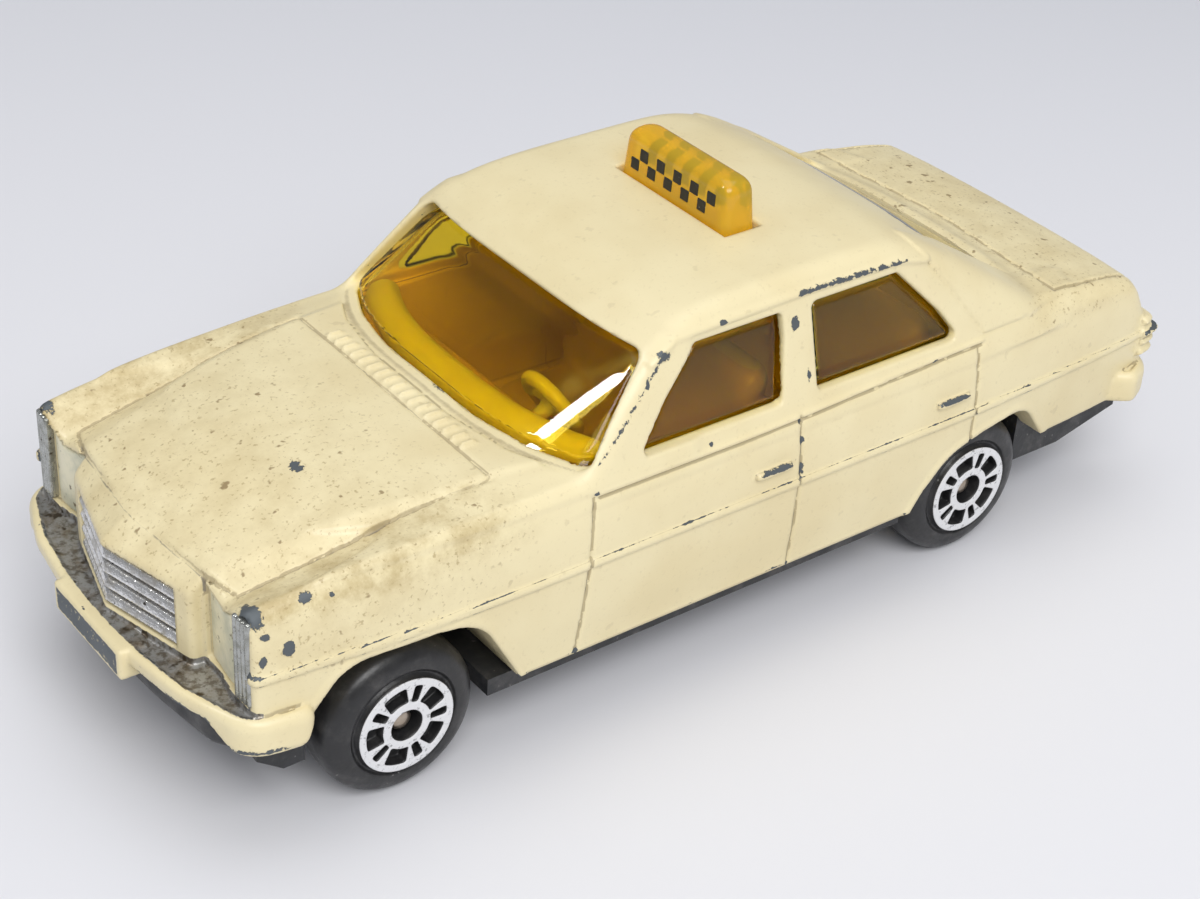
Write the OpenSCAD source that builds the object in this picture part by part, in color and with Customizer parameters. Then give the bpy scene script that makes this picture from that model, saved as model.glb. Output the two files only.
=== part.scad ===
// Die-cast toy saloon with a taxi sign on its roof, in millimetres.
// +X is forward, +Y is the car's left side, +Z is up, and the origin is on the ground under the middle.

/* [Body casting] */
// Length over both bumpers
overall_length = 76.8; // [72:0.2:84]
// Width over the creases in the sides
overall_width = 28.9; // [27:0.1:31]
// Wall of the casting
wall = 0.9; // [0.7:0.05:1.1]
// Wall of the casting round the cabin
cabin_wall = 0.6; // [0.5:0.05:0.8]
// Height of the sill above the axle line
sill_over_axle = 0.5; // [0.2:0.05:1]
// Height of the sides, from the sill to the shoulder
side_height = 10.8; // [10:0.1:12.5]
// Height of the crease in the sides above the sill
crease_height = 6.7; // [6:0.1:8]
// Rise from the shoulder to the foot of the windows
belt_rise = 1.2; // [0.9:0.05:1.8]
// Rise from the shoulder to the rear edge of the bonnet
bonnet_rise = 2.25; // [1.8:0.05:2.8]
// Rise from the shoulder to the front edge of the boot
boot_rise = 1.6; // [1.3:0.05:2.1]
// Width of the grooves between the panels
line_width = 0.22; // [0.15:0.01:0.35]
// Depth of the grooves between the panels
line_depth = 0.22; // [0.1:0.01:0.35]
// Number of louvres in front of the windscreen
louvre_count = 17; // [11:2:21]

/* [Cabin] */
// From the front of the car to the foot of the windscreen
windscreen_setback = 21.35; // [20:0.05:23]
// How far the windscreen leans back
windscreen_lean = 8.7; // [7:0.1:10]
// Length of the roof
roof_length = 25.8; // [24:0.1:27]
// From the rear face of the body to the foot of the rear window
boot_length = 10; // [9:0.1:11]
// Height of the cabin, from the foot of the windows to the roof rails
window_height = 6.15; // [5.5:0.05:7]
// Rise of the roof's crown above its rails
roof_crown = 1.9; // [1.2:0.1:2.6]
// How far the cabin's sides lean in
tumblehome = 1.6; // [1:0.1:2.2]
// Thickness of the amber glazing
glass_thickness = 0.8; // [0.6:0.05:1]

/* [Roof sign] */
// Length of the sign across the car, at its foot
sign_length = 10.8; // [10:0.1:13]
// Length of the sign across the car, at its top
sign_top_length = 10; // [8:0.1:10.6]
// Thickness of the sign at its foot
sign_depth = 2.7; // [2.2:0.1:3.4]
// Height of the sign above the roof
sign_height = 3.1; // [2:0.1:4]
// From the front edge of the roof to the middle of the sign
sign_setback = 13.05; // [11:0.05:15]
// Gap before and behind the sign in the roof's slot
slot_gap = 0.25; // [0.15:0.05:0.5]
// Gap at each end of the sign in the roof's slot
slot_end_gap = 0.6; // [0.3:0.05:0.9]

/* [Running gear] */
// Distance between the axles
wheelbase = 45.3; // [42:0.1:47]
// From the front of the car to the front axle
front_overhang = 13.3; // [12.5:0.05:14]
// From the rear axle to the rear of the car
rear_overhang = 18.2; // [17:0.1:19.5]
// Diameter of the tyres
tyre_diameter = 10.36; // [9.6:0.02:11]
// Width of a wheel
tyre_width = 4; // [3.4:0.1:4.4]
// How far the faces of the wheels stand in from the sides
wheel_inset = 0.85; // [0.5:0.05:1.2]
// Gap over the tyre under the wheel arch
arch_gap = 1.3; // [0.9:0.05:1.7]
// Diameter of the axle wires
axle_diameter = 1.2; // [0.9:0.05:1.5]
// Radius of the white foil on the wheels
foil_radius = 3.22; // [2.9:0.02:3.5]
// Thickness of the foil
foil_thickness = 0.1; // [0.06:0.01:0.15]
// Number of window pairs in a wheel
window_count = 5; // [4:1:6]

/* [Base and interior] */
// How far the base hangs below the sill
base_drop = 1.3; // [0.9:0.05:1.7]
// Thickness of the base
base_thickness = 1.2; // [0.9:0.05:1.5]
// Diameter of the posts that are riveted through the base
post_diameter = 3; // [2.4:0.1:3.6]
// Diameter of the steering wheel
steering_diameter = 5; // [4:0.1:6]

/* [Hidden] */

// Overrun of every cut
overrun = 0.6;
// Gap between pieces that are pressed together
fit = 0.1;
// Clearance round a turning shaft
running_fit = 0.05;
// Facets of a full round
round_facets = 64;
hull_facets = 24;

// The overhangs and the wheelbase share out the length in proportion, and the cabin stretches with them
stretch = overall_length / (front_overhang + wheelbase + rear_overhang);

// Main places along the car
nose_x = overall_length / 2;
tail_x = -nose_x;
front_bumper_reach = 2.9;
rear_bumper_reach = 0.75;
face_x = nose_x - front_bumper_reach;
rear_face_x = tail_x + rear_bumper_reach;
front_axle_x = nose_x - front_overhang * stretch;
rear_axle_x = front_axle_x - wheelbase * stretch;
axle_places = [rear_axle_x, front_axle_x];

// Main heights
tyre_radius = tyre_diameter / 2;
axle_z = tyre_radius;
sill_z = axle_z + sill_over_axle;
crease_z = sill_z + crease_height;
shoulder_z = sill_z + side_height;
belt_z = shoulder_z + belt_rise;
rail_z = belt_z + window_height;
roof_z = rail_z + roof_crown;
base_z = sill_z - base_drop;
base_top_z = base_z + base_thickness;
front_valance = 1.5;
rear_valance = 1.9;
shelf_share = 0.39;
shelf_z = sill_z + shelf_share * side_height;

// Widths
body_half = overall_width / 2;
track_width = overall_width - 2 * wheel_inset;
sill_tuck = 0.25;
shoulder_tuck = 0.47;
belt_tuck = 0.85;
belt_half = body_half - belt_tuck;
rail_half = belt_half - tumblehome;

// Cabin outline, at the foot of the windows and at the roof rails
belt_front_x = nose_x - windscreen_setback * stretch;
rail_front_x = belt_front_x - windscreen_lean * stretch;
rail_rear_x = rail_front_x - roof_length * stretch;
belt_rear_x = rear_face_x + boot_length * stretch;
belt_front_bow = 4.3;
rail_front_bow = 1.4;
belt_rear_bow = 2.6;
rail_rear_bow = 1.6;
front_corner = 0.9;
rear_corner = 1.8;
belt_corner_x = belt_front_x - belt_front_bow;
belt_rear_corner_x = belt_rear_x + belt_rear_bow;
rail_corner_x = rail_front_x - rail_front_bow;
rail_rear_corner_x = rail_rear_x + rail_rear_bow;

// Half widths of the body along its length, as shares of the full half width
plan_shares = [[0, 0.9], [0.04, 0.925], [0.14, 0.965], [0.3, 1],
               [0.72, 1], [0.85, 0.98], [0.95, 0.945], [1, 0.925]];
// Rows of place, wing top across and up, gutter across and up, panel edge across and up, and middle
bonnet_shares = [
    [0, 0.94, 0.53, 0.8, 0.75, 0.55, 0.93, 1],
    [0.2, 0.905, 0.53, 0.77, 0.75, 0.55, 0.92, 0.99],
    [0.5, 0.89, 0.4, 0.745, 0.3, 0.53, 0.63, 0.7],
    [0.75, 0.895, 0.24, 0.735, -0.12, 0.52, 0.26, 0.34],
    [0.92, 0.905, 0.06, 0.73, -0.44, 0.52, -0.08, 0],
    [1, 0.91, -0.06, 0.73, -0.62, 0.52, -0.32, -0.25]
];
boot_shares = [
    [0, 0.925, -0.4, 0.85, -0.2, 0.55, -0.1, -0.05],
    [0.15, 0.93, -0.12, 0.85, 0.05, 0.55, 0.14, 0.18],
    [0.5, 0.935, 0.35, 0.85, 0.55, 0.55, 0.68, 0.72],
    [1, 0.94, 0.7, 0.85, 0.92, 0.55, 1, 1.04]
];
bonnet_stations = 9;
boot_stations = 6;
middle_station_share = 0.33;

// Value between the rows of a table, by the first number of each row
function row_at(table, place) =
    let (last = len(table) - 2,
         i = max(0, min(last, len([for (row = table) if (row[0] <= place) row]) - 1)),
         low = table[i],
         high = table[i + 1])
    low + (high - low) * (place - low[0]) / (high[0] - low[0]);

function mix(a, b, share) = a + (b - a) * share;

// The top of the body in sizes: each row starts with its place along the car
deck_rows = concat(
    [for (r = boot_shares)
        [mix(rear_face_x, belt_rear_corner_x, r[0]), r[1], r[2] * boot_rise, r[3], r[4] * boot_rise,
         r[5], r[6] * boot_rise, r[7] * boot_rise]],
    [for (r = bonnet_shares)
        [mix(belt_corner_x, face_x, r[0]), r[1], r[2] * bonnet_rise, r[3], r[4] * bonnet_rise,
         r[5], r[6] * bonnet_rise, r[7] * bonnet_rise]]
);

function half_at(x) = body_half * row_at(plan_shares, (x - rear_face_x) / (face_x - rear_face_x))[1];

function bottom_at(x) =
    x > front_axle_x ? sill_z + front_valance : x < rear_axle_x ? sill_z + rear_valance : sill_z;

// Height of the body's top at any place
function deck_z(x, y) =
    let (r = row_at(deck_rows, x),
         across = abs(y) / half_at(x),
         line = [[0, r[7]], [r[5], r[6]], [r[3], r[4]], [r[1], r[2]], [1, 0]])
    shoulder_z + row_at(line, across)[1];

// One half of a section, from the sill up and in to the middle, as [y, z]
crease_lip = 0.12;
crease_band = 0.5;
// Across and up, between the named points on either side
flank_shares = [0.7, 0.6];
wing_side_shares = [0.3, 0.55];
wing_fall_shares = [0.4, 0.2];
panel_rise_shares = [0.25, 0.5];
function half_section(x, inset) =
    let (r = row_at(deck_rows, x),
         half = half_at(x),
         out = half - inset,
         low = bottom_at(x) - (inset > 0 ? overrun : 0),
         top = shoulder_z - inset,
         shoulder = out - shoulder_tuck,
         wing = [half * r[1] - inset, top + r[2]])
    [[out - sill_tuck, low],
     [out - crease_lip, crease_z - crease_band / 2 - crease_lip / 2],
     [out, crease_z - crease_band / 2],
     [out, crease_z + crease_band / 2],
     [out - crease_lip, crease_z + crease_band / 2 + crease_lip / 2],
     [mix(out, shoulder, flank_shares[0]), mix(crease_z, shoulder_z, flank_shares[1])],
     [shoulder, top],
     [mix(shoulder, wing[0], wing_side_shares[0]), mix(top, wing[1], wing_side_shares[1])],
     wing,
     [mix(wing[0], half * r[3], wing_fall_shares[0]), mix(wing[1], top + r[4], wing_fall_shares[1])],
     [half * r[3], top + r[4]],
     [mix(half * r[3], half * r[5], panel_rise_shares[0]),
      mix(top + r[4], top + r[6], panel_rise_shares[1])],
     [half * r[5], top + r[6]]];

function section(x, inset) =
    let (half = half_section(x, inset),
         last = len(half) - 1,
         middle = shoulder_z - inset + row_at(deck_rows, x)[7])
    concat([for (p = half) [x, p[0], p[1]]],
           [[x, 0, middle]],
           [for (i = [last:-1:0]) [x, -half[i][0], half[i][1]]]);

stations = concat(
    [for (i = [0:boot_stations]) mix(rear_face_x - overrun, belt_rear_corner_x, i / boot_stations)],
    [rear_axle_x - line_width, rear_axle_x, mix(rear_axle_x, front_axle_x, middle_station_share)],
    [for (i = [0:bonnet_stations]) mix(belt_corner_x, face_x + overrun, i / bonnet_stations)]
);

// A skin through rings of points that all have the same count
module loft(rings) {
    count = len(rings[0]);
    last = len(rings) - 1;
    walls = [for (i = [0:last - 1], j = [0:count - 1])
        let (k = (j + 1) % count, a = i * count, b = a + count)
        each [[a + j, b + j, b + k], [a + j, b + k, a + k]]];
    ends = [[for (j = [0:count - 1]) j], [for (j = [count - 1:-1:0]) last * count + j]];
    polyhedron([for (ring = rings) each ring], concat(walls, ends), convexity = 6);
}

// Plan of the body between its front and rear faces
nose_bow = 0.4;
tail_bow = 0.3;
face_corner = 0.9;
tail_lean = 2.8;
plan_steps = 9;
corner_power = 14;
module ends_plan(inset, lean) {
    places = [for (i = [-plan_steps:plan_steps]) i / plan_steps];
    polygon(concat(
        [for (p = places)
            [face_x - inset - nose_bow * p ^ 2 - face_corner * p ^ corner_power,
             p * body_half]],
        [for (p = places)
            [rear_face_x + lean + inset + tail_bow * p ^ 2 + face_corner * p ^ corner_power,
             -p * body_half]]));
}

// The faces at the front and the tail, where the tail leans forward from the bumper up
module ends_envelope(inset) {
    hull() {
        translate([0, 0, base_z - overrun])
            linear_extrude(crease_z - base_z)
                ends_plan(inset, 0);
        translate([0, 0, shoulder_z + boot_rise])
            linear_extrude(overrun)
                ends_plan(inset, tail_lean);
    }
}

module lower_body(inset) {
    intersection() {
        loft([for (x = stations) section(x, inset)]);
        ends_envelope(inset);
    }
}

// Cabin: one outline at each height, with a bowed front and rear and round corners
edge_steps = 4;
arc_steps = 3;
bow_power = 2.8;
flat_shares = [0.33, 0.67];
function cabin_outline(front, rear, half, front_bow, rear_bow, z) =
    let (front_side = half - front_corner,
         rear_side = half - rear_corner,
         front_end = front - front_bow * (front_side / half) ^ bow_power,
         rear_end = rear + rear_bow * (rear_side / half) ^ bow_power)
    concat(
        [for (i = [-edge_steps:edge_steps])
            let (y = front_side * i / edge_steps)
            [front - front_bow * (abs(y) / half) ^ bow_power, y, z]],
        [for (i = [1:arc_steps])
            let (a = 90 * i / arc_steps)
            [front_end - front_corner * (1 - cos(a)), front_side + front_corner * sin(a), z]],
        [for (share = flat_shares) [mix(front_end - front_corner, rear_end + rear_corner, share), half, z]],
        [for (i = [arc_steps:-1:1])
            let (a = 90 * i / arc_steps)
            [rear_end + rear_corner * (1 - cos(a)), rear_side + rear_corner * sin(a), z]],
        [for (i = [edge_steps:-1:-edge_steps])
            let (y = rear_side * i / edge_steps)
            [rear + rear_bow * (abs(y) / half) ^ bow_power, y, z]],
        [for (i = [1:arc_steps])
            let (a = 90 * i / arc_steps)
            [rear_end + rear_corner * (1 - cos(a)), -rear_side - rear_corner * sin(a), z]],
        [for (share = flat_shares) [mix(rear_end + rear_corner, front_end - front_corner, share), -half, z]],
        [for (i = [arc_steps:-1:1])
            let (a = 90 * i / arc_steps)
            [front_end - front_corner * (1 - cos(a)), -front_side - front_corner * sin(a), z]]);

// A sloping pane needs more room along the car than a wall straight up
front_slope = norm([belt_front_x - rail_front_x, window_height]) / window_height;
rear_slope = norm([rail_rear_x - belt_rear_x, window_height]) / window_height;

function cabin_ring(share, inset, z) =
    cabin_outline(mix(belt_front_x, rail_front_x, share) - inset * front_slope,
                  mix(belt_rear_x, rail_rear_x, share) + inset * rear_slope,
                  mix(belt_half, rail_half, share) - inset,
                  mix(belt_front_bow, rail_front_bow, share),
                  mix(belt_rear_bow, rail_rear_bow, share),
                  z);

// Roof crown: the rail outline drawn in towards the middle while it rises,
// flat across and round along the car
crown_shares = [0.99, 0.97, 0.94, 0.9, 0.84, 0.74, 0.58, 0.36, 0.1];
along_power = 4;
across_power = 12;
rim_power = 24;
roof_middle_x = (rail_front_x + rail_rear_x) / 2;
function crown_rise(x, y, k) =
    let (along = min(1, abs(x - roof_middle_x) / (rail_front_x - roof_middle_x)),
         across = min(1, abs(y) / rail_half))
    roof_crown * (1 - along ^ along_power) * (1 - across ^ across_power) * (1 - k ^ rim_power);

// Depth of the cabin below the foot of its windows
skirt = 1.4;
pane_steps = 4;
function cabin_rings(inset, skirt_depth) =
    let (rail = cabin_ring(1, inset, rail_z - inset))
    concat(
        [cabin_ring(0, inset, belt_z - skirt_depth)],
        [for (i = [0:pane_steps])
            let (share = i / pane_steps)
            cabin_ring(share, inset, mix(belt_z, rail_z, share) - inset * share)],
        [for (k = crown_shares)
            [for (p = rail)
                let (x = mix(roof_middle_x, p[0], k), y = p[1] * k)
                [x, y, rail_z - inset + crown_rise(x, y, k)]]]);

module cabin(inset, skirt_depth) {
    loft(cabin_rings(inset, skirt_depth));
}

// Windows
// Low front, low rear, high front and high rear corners of each side window, from the front of the cabin
window_shares = [[0.11, 0.396, 0.112, 0.425], [0.471, 0.781, 0.526, 0.85]];
window_round = 0.5;
window_margin = 0.25;
window_low_z = belt_z + window_margin;
window_high_z = rail_z - window_margin;
function belt_place(share) = mix(belt_corner_x, belt_rear_corner_x, share);
function rail_place(share) = mix(rail_corner_x, rail_rear_corner_x, share);

module side_windows() {
    rotate([90, 0, 0])
        linear_extrude(overall_width, center = true)
            for (w = window_shares)
                offset(window_round)
                    offset(-window_round)
                        polygon([[belt_place(w[0]), window_low_z], [belt_place(w[1]), window_low_z],
                                 [rail_place(w[3]), window_high_z], [rail_place(w[2]), window_high_z]]);
}

// Outline of a windscreen seen along the car: its foot follows the panel in front of it
screen_steps = 8;
screen_round = 0.7;
module screen_outline(low_half, high_half, low_z, foot_rise, high_z, head_rise) {
    places = [for (i = [-screen_steps:screen_steps]) i / screen_steps];
    offset(screen_round)
        offset(-screen_round)
            polygon(concat(
                [for (p = places) [p * low_half, low_z + foot_rise * (1 - p ^ 2)]],
                [for (p = places) [-p * high_half, high_z + head_rise * (1 - p ^ 2)]]));
}

module along_x(start, stop) {
    translate([start, 0, 0])
        rotate([90, 0, 90])
            linear_extrude(stop - start)
                children();
}

screen_side = 0.35;
screen_head_share = 0.1;
rear_pillar = 3.7;
module screens() {
    intersection() {
        cabin(-overrun / 4, 0);
        union() {
            along_x(roof_middle_x, nose_x)
                screen_outline(belt_half - screen_side, rail_half - 2 * screen_side, window_low_z,
                               bonnet_rise - belt_rise, window_high_z, screen_head_share * roof_crown);
            along_x(tail_x, roof_middle_x)
                screen_outline(belt_half - rear_pillar, rail_half - rear_pillar + screen_side,
                               window_low_z + screen_side, boot_rise - belt_rise, window_high_z,
                               screen_head_share * roof_crown);
        }
    }
}

// Wheel arches, as circles round the axle: along the car, up, and radius, in shares of the arch's radius
arch_radius = tyre_radius + arch_gap;
front_arch_shares = [[0.4, 0.5, 0.49], [-0.36, 0.42, 0.55], [1.1, 0.3, 0.02], [-1.18, 0.03, 0.02]];
rear_arch_shares = [[-0.42, 0.46, 0.39], [0.15, 0.1, 0.64], [-1.03, 0.26, 0.02], [0.93, 0.03, 0.02]];
module wheel_arch(x, shares) {
    translate([x, 0, axle_z])
        rotate([90, 0, 0])
            linear_extrude(overall_width + overrun, center = true)
                hull() {
                    for (s = shares)
                        translate([s[0], s[1]] * arch_radius)
                            circle(s[2] * arch_radius, $fn = hull_facets);
                    translate([shares[2][0] * arch_radius, -axle_z])
                        circle(overrun);
                    translate([shares[3][0] * arch_radius, -axle_z])
                        circle(overrun);
                }
}

// Grooves between the panels
front_door_gap = 0.3;
front_door_x = belt_corner_x - front_door_gap;
front_door_lean = 0.9;
middle_door_share = 0.43;
middle_door_x = belt_place(middle_door_share);
rear_door_gap = 2;
rear_door_x = belt_place(window_shares[1][1]) - rear_door_gap;
line_margin = 0.3;
line_low_z = sill_z + line_margin;

module groove(from, to) {
    hull() {
        translate(from) circle(d = line_width, $fn = 6);
        translate(to) circle(d = line_width, $fn = 6);
    }
}

module door_grooves() {
    rotate([90, 0, 0])
        linear_extrude(overall_width + overrun, center = true) {
            groove([front_door_x, belt_z - line_width], [front_door_x + front_door_lean, line_low_z]);
            groove([middle_door_x, belt_z - line_width], [middle_door_x, line_low_z]);
            groove([rear_door_x, belt_z - line_width], [rear_door_x, axle_z + arch_radius / 2]);
        }
}

cowl_length = 1.1;
bonnet_rear_x = belt_front_x + cowl_length;
header_length = 0.75;
bonnet_front_x = face_x - header_length;
boot_line_gap = 0.4;
boot_line_x = belt_rear_x - boot_line_gap;
boot_line_share = 0.84;
module lid_grooves() {
    rear_half = half_at(bonnet_rear_x) * row_at(deck_rows, bonnet_rear_x)[3];
    front_half = half_at(bonnet_front_x) * row_at(deck_rows, bonnet_front_x)[3];
    boot_half = half_at(boot_line_x) * boot_line_share;
    tail_half = half_at(rear_face_x) * boot_line_share;
    translate([0, 0, shoulder_z - bonnet_rise])
        linear_extrude(2 * bonnet_rise + boot_rise) {
            groove([bonnet_rear_x, -rear_half], [bonnet_rear_x, rear_half]);
            groove([bonnet_front_x, -front_half], [bonnet_front_x, front_half]);
            groove([boot_line_x, -boot_half], [boot_line_x, boot_half]);
            for (side = [-1, 1]) {
                groove([bonnet_rear_x, side * rear_half], [bonnet_front_x, side * front_half]);
                groove([boot_line_x, side * boot_half], [rear_face_x, side * tail_half]);
            }
        }
}

module panel_grooves() {
    difference() {
        union() {
            door_grooves();
            lid_grooves();
        }
        lower_body(line_depth);
    }
}

// Front end: a grille that comes to a low point in the middle, under a header that slopes back to the bonnet
grille_width = 14;
grille_half = grille_width / 2;
grille_peak = 1.3;
grille_edge = 0.4;
grille_frame = 0.9;
grille_lip = 0.4;
grille_recess = 0.6;
slat_count = 4;
slat_share = 0.62;
header_share = 0.6;
grille_top_z = shoulder_z - header_share * bonnet_rise;
module grille_plan(inset) {
    polygon([[face_x - wall, -grille_half], [face_x + grille_edge - inset, -grille_half],
             [face_x + grille_peak - inset, 0], [face_x + grille_edge - inset, grille_half],
             [face_x - wall, grille_half]]);
}

module grille_layer(low_z, high_z, inset) {
    translate([0, 0, low_z])
        linear_extrude(high_z - low_z)
            grille_plan(inset);
}

module grille() {
    low_z = shelf_z + grille_frame / 2;
    high_z = grille_top_z - grille_lip;
    pitch = (high_z - low_z) / slat_count;
    opening = grille_width - 2 * grille_frame;
    difference() {
        grille_layer(shelf_z, grille_top_z, 0);
        difference() {
            translate([face_x - grille_recess, -opening / 2, low_z])
                cube([grille_peak + grille_recess + overrun, opening, high_z - low_z]);
            grille_layer(shelf_z, grille_top_z, grille_recess);
        }
    }
    hull() {
        grille_layer(high_z, grille_top_z, 0);
        translate([face_x - 2 * wall, -grille_half, high_z])
            cube([wall, grille_width, deck_z(face_x, 0) - high_z]);
    }
    for (i = [0:slat_count - 1])
        intersection() {
            grille_layer(low_z + (i + (1 - slat_share) / 2) * pitch,
                         low_z + (i + (1 + slat_share) / 2) * pitch,
                         grille_recess / 3);
            translate([0, -opening / 2 - grille_recess, 0])
                cube([nose_x, opening + 2 * grille_recess, shoulder_z]);
        }
}

// A lamp unit: a plain lens and an upright row of ribs at its outer end
lamp_width = 4.4;
lamp_reach = 0.35;
lamp_rib_count = 3;
lamp_rib = 0.5;
rib_round_share = 0.55;
lamp_margin = 0.3;
lamp_top_z = shoulder_z - lamp_margin;
lamp_low_z = shelf_z + lamp_margin;
lamp_outer = body_half * plan_shares[7][1] - lamp_margin;
module lamp(x, reach) {
    ribs_width = lamp_rib_count * lamp_rib;
    rib_base = face_corner / 2;
    translate([x - wall, lamp_outer - lamp_width, lamp_low_z])
        cube([wall + reach - nose_bow, lamp_width - ribs_width, lamp_top_z - lamp_low_z]);
    for (i = [0:lamp_rib_count - 1])
        hull()
            for (z = [lamp_low_z + lamp_rib, lamp_top_z - lamp_rib])
                translate([x - nose_bow - i * rib_base / 2,
                           lamp_outer - ribs_width + (i + 1 / 2) * lamp_rib,
                           z])
                    sphere(lamp_rib * rib_round_share, $fn = 8);
}

// Bumpers: a bar that runs round the ends of the car
bumper_depth = 1.5;
bumper_height = 2.7;
bumper_chamfer = 0.4;
bumper_wrap = 5.6;
rear_bumper_wrap = 2.4;
bumper_low_z = sill_z + front_valance;
// Back from the front of the bar, and across the car
bumper_shares = [[0, 0], [0.03, 0.3], [0.14, 0.62], [0.32, 0.86], [0.58, 0.97], [1, 0.98]];
plate_length = 8.4;
plate_reach = 0.35;
plate_height = 2;

module bumper_bead() {
    cylinder(d = bumper_depth - 2 * bumper_chamfer, h = bumper_height, $fn = 12);
    translate([0, 0, bumper_chamfer])
        cylinder(d = bumper_depth, h = bumper_height - 2 * bumper_chamfer, $fn = 12);
}

module bumper(front, wrap) {
    places = [for (s = bumper_shares)
        [front - bumper_depth / 2 - s[0] * wrap, s[1] * (body_half - bumper_depth / 2 + sill_tuck)]];
    for (side = [-1, 1], i = [0:len(places) - 2])
        hull()
            for (p = [places[i], places[i + 1]])
                translate([p[0], side * p[1], 0])
                    bumper_bead();
}

// The shelf between a bumper and the face behind it
shelf_drop = 0.3;
shelf_end_share = 0.5;
module shelf(front, face, wrap) {
    inner = [for (s = bumper_shares) if (s[0] < shelf_end_share)
        [front - bumper_depth / 2 - s[0] * wrap, s[1] * (body_half - bumper_depth / 2 + sill_tuck)]];
    last = len(inner) - 1;
    translate([0, 0, shelf_drop])
        linear_extrude(bumper_height - 2 * shelf_drop)
            polygon(concat([[face - wall, -inner[last][1]]],
                           [for (i = [last:-1:0]) [inner[i][0], -inner[i][1]]],
                           inner,
                           [[face - wall, inner[last][1]]]));
}

module front_end() {
    grille();
    for (side = [0, 1])
        mirror([0, side, 0])
            lamp(face_x, lamp_reach);
    translate([0, 0, bumper_low_z]) {
        bumper(nose_x - plate_reach, bumper_wrap);
        shelf(nose_x - plate_reach, face_x, bumper_wrap);
    }
    translate([nose_x - bumper_depth, -plate_length / 2, bumper_low_z + bumper_height - plate_height])
        cube([bumper_depth, plate_length, plate_height]);
}

// Rear end
tail_lamp_width = 4.2;
tail_lamp_gap = 0.8;
tail_lamp_low_z = bumper_low_z + bumper_height + tail_lamp_gap;
tail_lamp_height = 3;
tail_rib_count = 4;
tail_rib_share = 0.62;
module tail_lamp() {
    pitch = tail_lamp_height / tail_rib_count;
    top_z = tail_lamp_low_z + tail_lamp_height;
    lean = tail_lean * (top_z - crease_z) / (shoulder_z + boot_rise - crease_z);
    for (i = [0:tail_rib_count - 1])
        translate([0, 0, tail_lamp_low_z + i * pitch])
            hull()
                for (y = [tail_lamp_width, 0])
                    translate([rear_face_x + tail_bow + max(0, lean) * i / tail_rib_count,
                               lamp_outer - lamp_rib - y, pitch / 2])
                        sphere(pitch * tail_rib_share, $fn = 8);
}

module rear_end() {
    for (side = [0, 1])
        mirror([0, side, 0])
            tail_lamp();
    mirror([1, 0, 0])
        translate([0, 0, bumper_low_z]) {
            bumper(nose_x, rear_bumper_wrap);
            shelf(nose_x, -rear_face_x, rear_bumper_wrap);
        }
}

// Door handles and cowl louvres
handle_length = 3.4;
handle_height = 0.75;
handle_reach = 0.4;
handle_rise = 1.55;
handle_z = crease_z + handle_rise;
handle_gap = 0.5;
module handles() {
    for (door = [middle_door_x + handle_gap, rear_door_x + handle_gap], side = [-1, 1])
        hull()
            for (x = [handle_height, handle_length - handle_height])
                translate([door + x, side * (half_at(door) - shoulder_tuck / 2), handle_z])
                    rotate([90, 0, 0])
                        cylinder(d = handle_height, h = 2 * handle_reach, center = true, $fn = 10);
}

louvre_length = 1;
louvre_width = 0.4;
louvre_span_share = 0.55;
module louvres() {
    pitch = 2 * louvre_span_share * body_half / louvre_count;
    for (i = [0:louvre_count - 1]) {
        y = (i - (louvre_count - 1) / 2) * pitch;
        x = bonnet_rear_x - line_width - louvre_length;
        hull()
            for (shift = [0, louvre_length - louvre_width])
                translate([x + shift, y, deck_z(x + shift, y) - louvre_width / 4])
                    sphere(d = louvre_width, $fn = 6);
    }
}

// Posts that hold the base, with heads spun over in its counterbores
// Each post's place along the car and the height of the base under it
wheel_room = 0.8;
wing_reach = tyre_radius + wheel_room;
wing_wall = 0.8;
base_lap = 1;
pocket_z = sill_z + base_lap / 2;
post_places = [
    [front_axle_x - tyre_radius, base_top_z],
    [rear_axle_x - wing_reach - wing_wall - post_diameter / 2 - 2 * fit, pocket_z]
];
spigot_share = 0.6;
head_share = 1.1;
head_height = 0.5;
counterbore_depth = head_height + fit;
module posts() {
    for (p = post_places) {
        translate([p[0], 0, p[1]])
            cylinder(d = post_diameter, h = deck_z(p[0], 0) - p[1] - wall / 2, $fn = hull_facets);
        translate([p[0], 0, base_z + fit])
            cylinder(d = spigot_share * post_diameter, h = p[1] - base_z, $fn = hull_facets);
        translate([p[0], 0, base_z + fit])
            cylinder(d = head_share * post_diameter, h = head_height, $fn = hull_facets);
    }
}

// Roof sign, from the glazing up through the roof
sign_x = rail_front_x - sign_setback * stretch;
sign_round = 0.95;
sign_foot_z = roof_z - cabin_wall - glass_thickness;
module sign_block() {
    top_z = roof_z + sign_height - sign_round;
    hull() {
        translate([sign_x, 0, (sign_foot_z + roof_z) / 2])
            cube([sign_depth, sign_length, roof_z - sign_foot_z], center = true);
        for (side = [-1, 1])
            translate([sign_x, side * (sign_top_length / 2 - sign_round), top_z])
                sphere(sign_round, $fn = hull_facets);
    }
}

module sign_slot() {
    translate([sign_x, 0, roof_z])
        cube([sign_depth + 2 * slot_gap, sign_length + 2 * slot_end_gap, 2 * cabin_wall + roof_crown],
             center = true);
}

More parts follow.
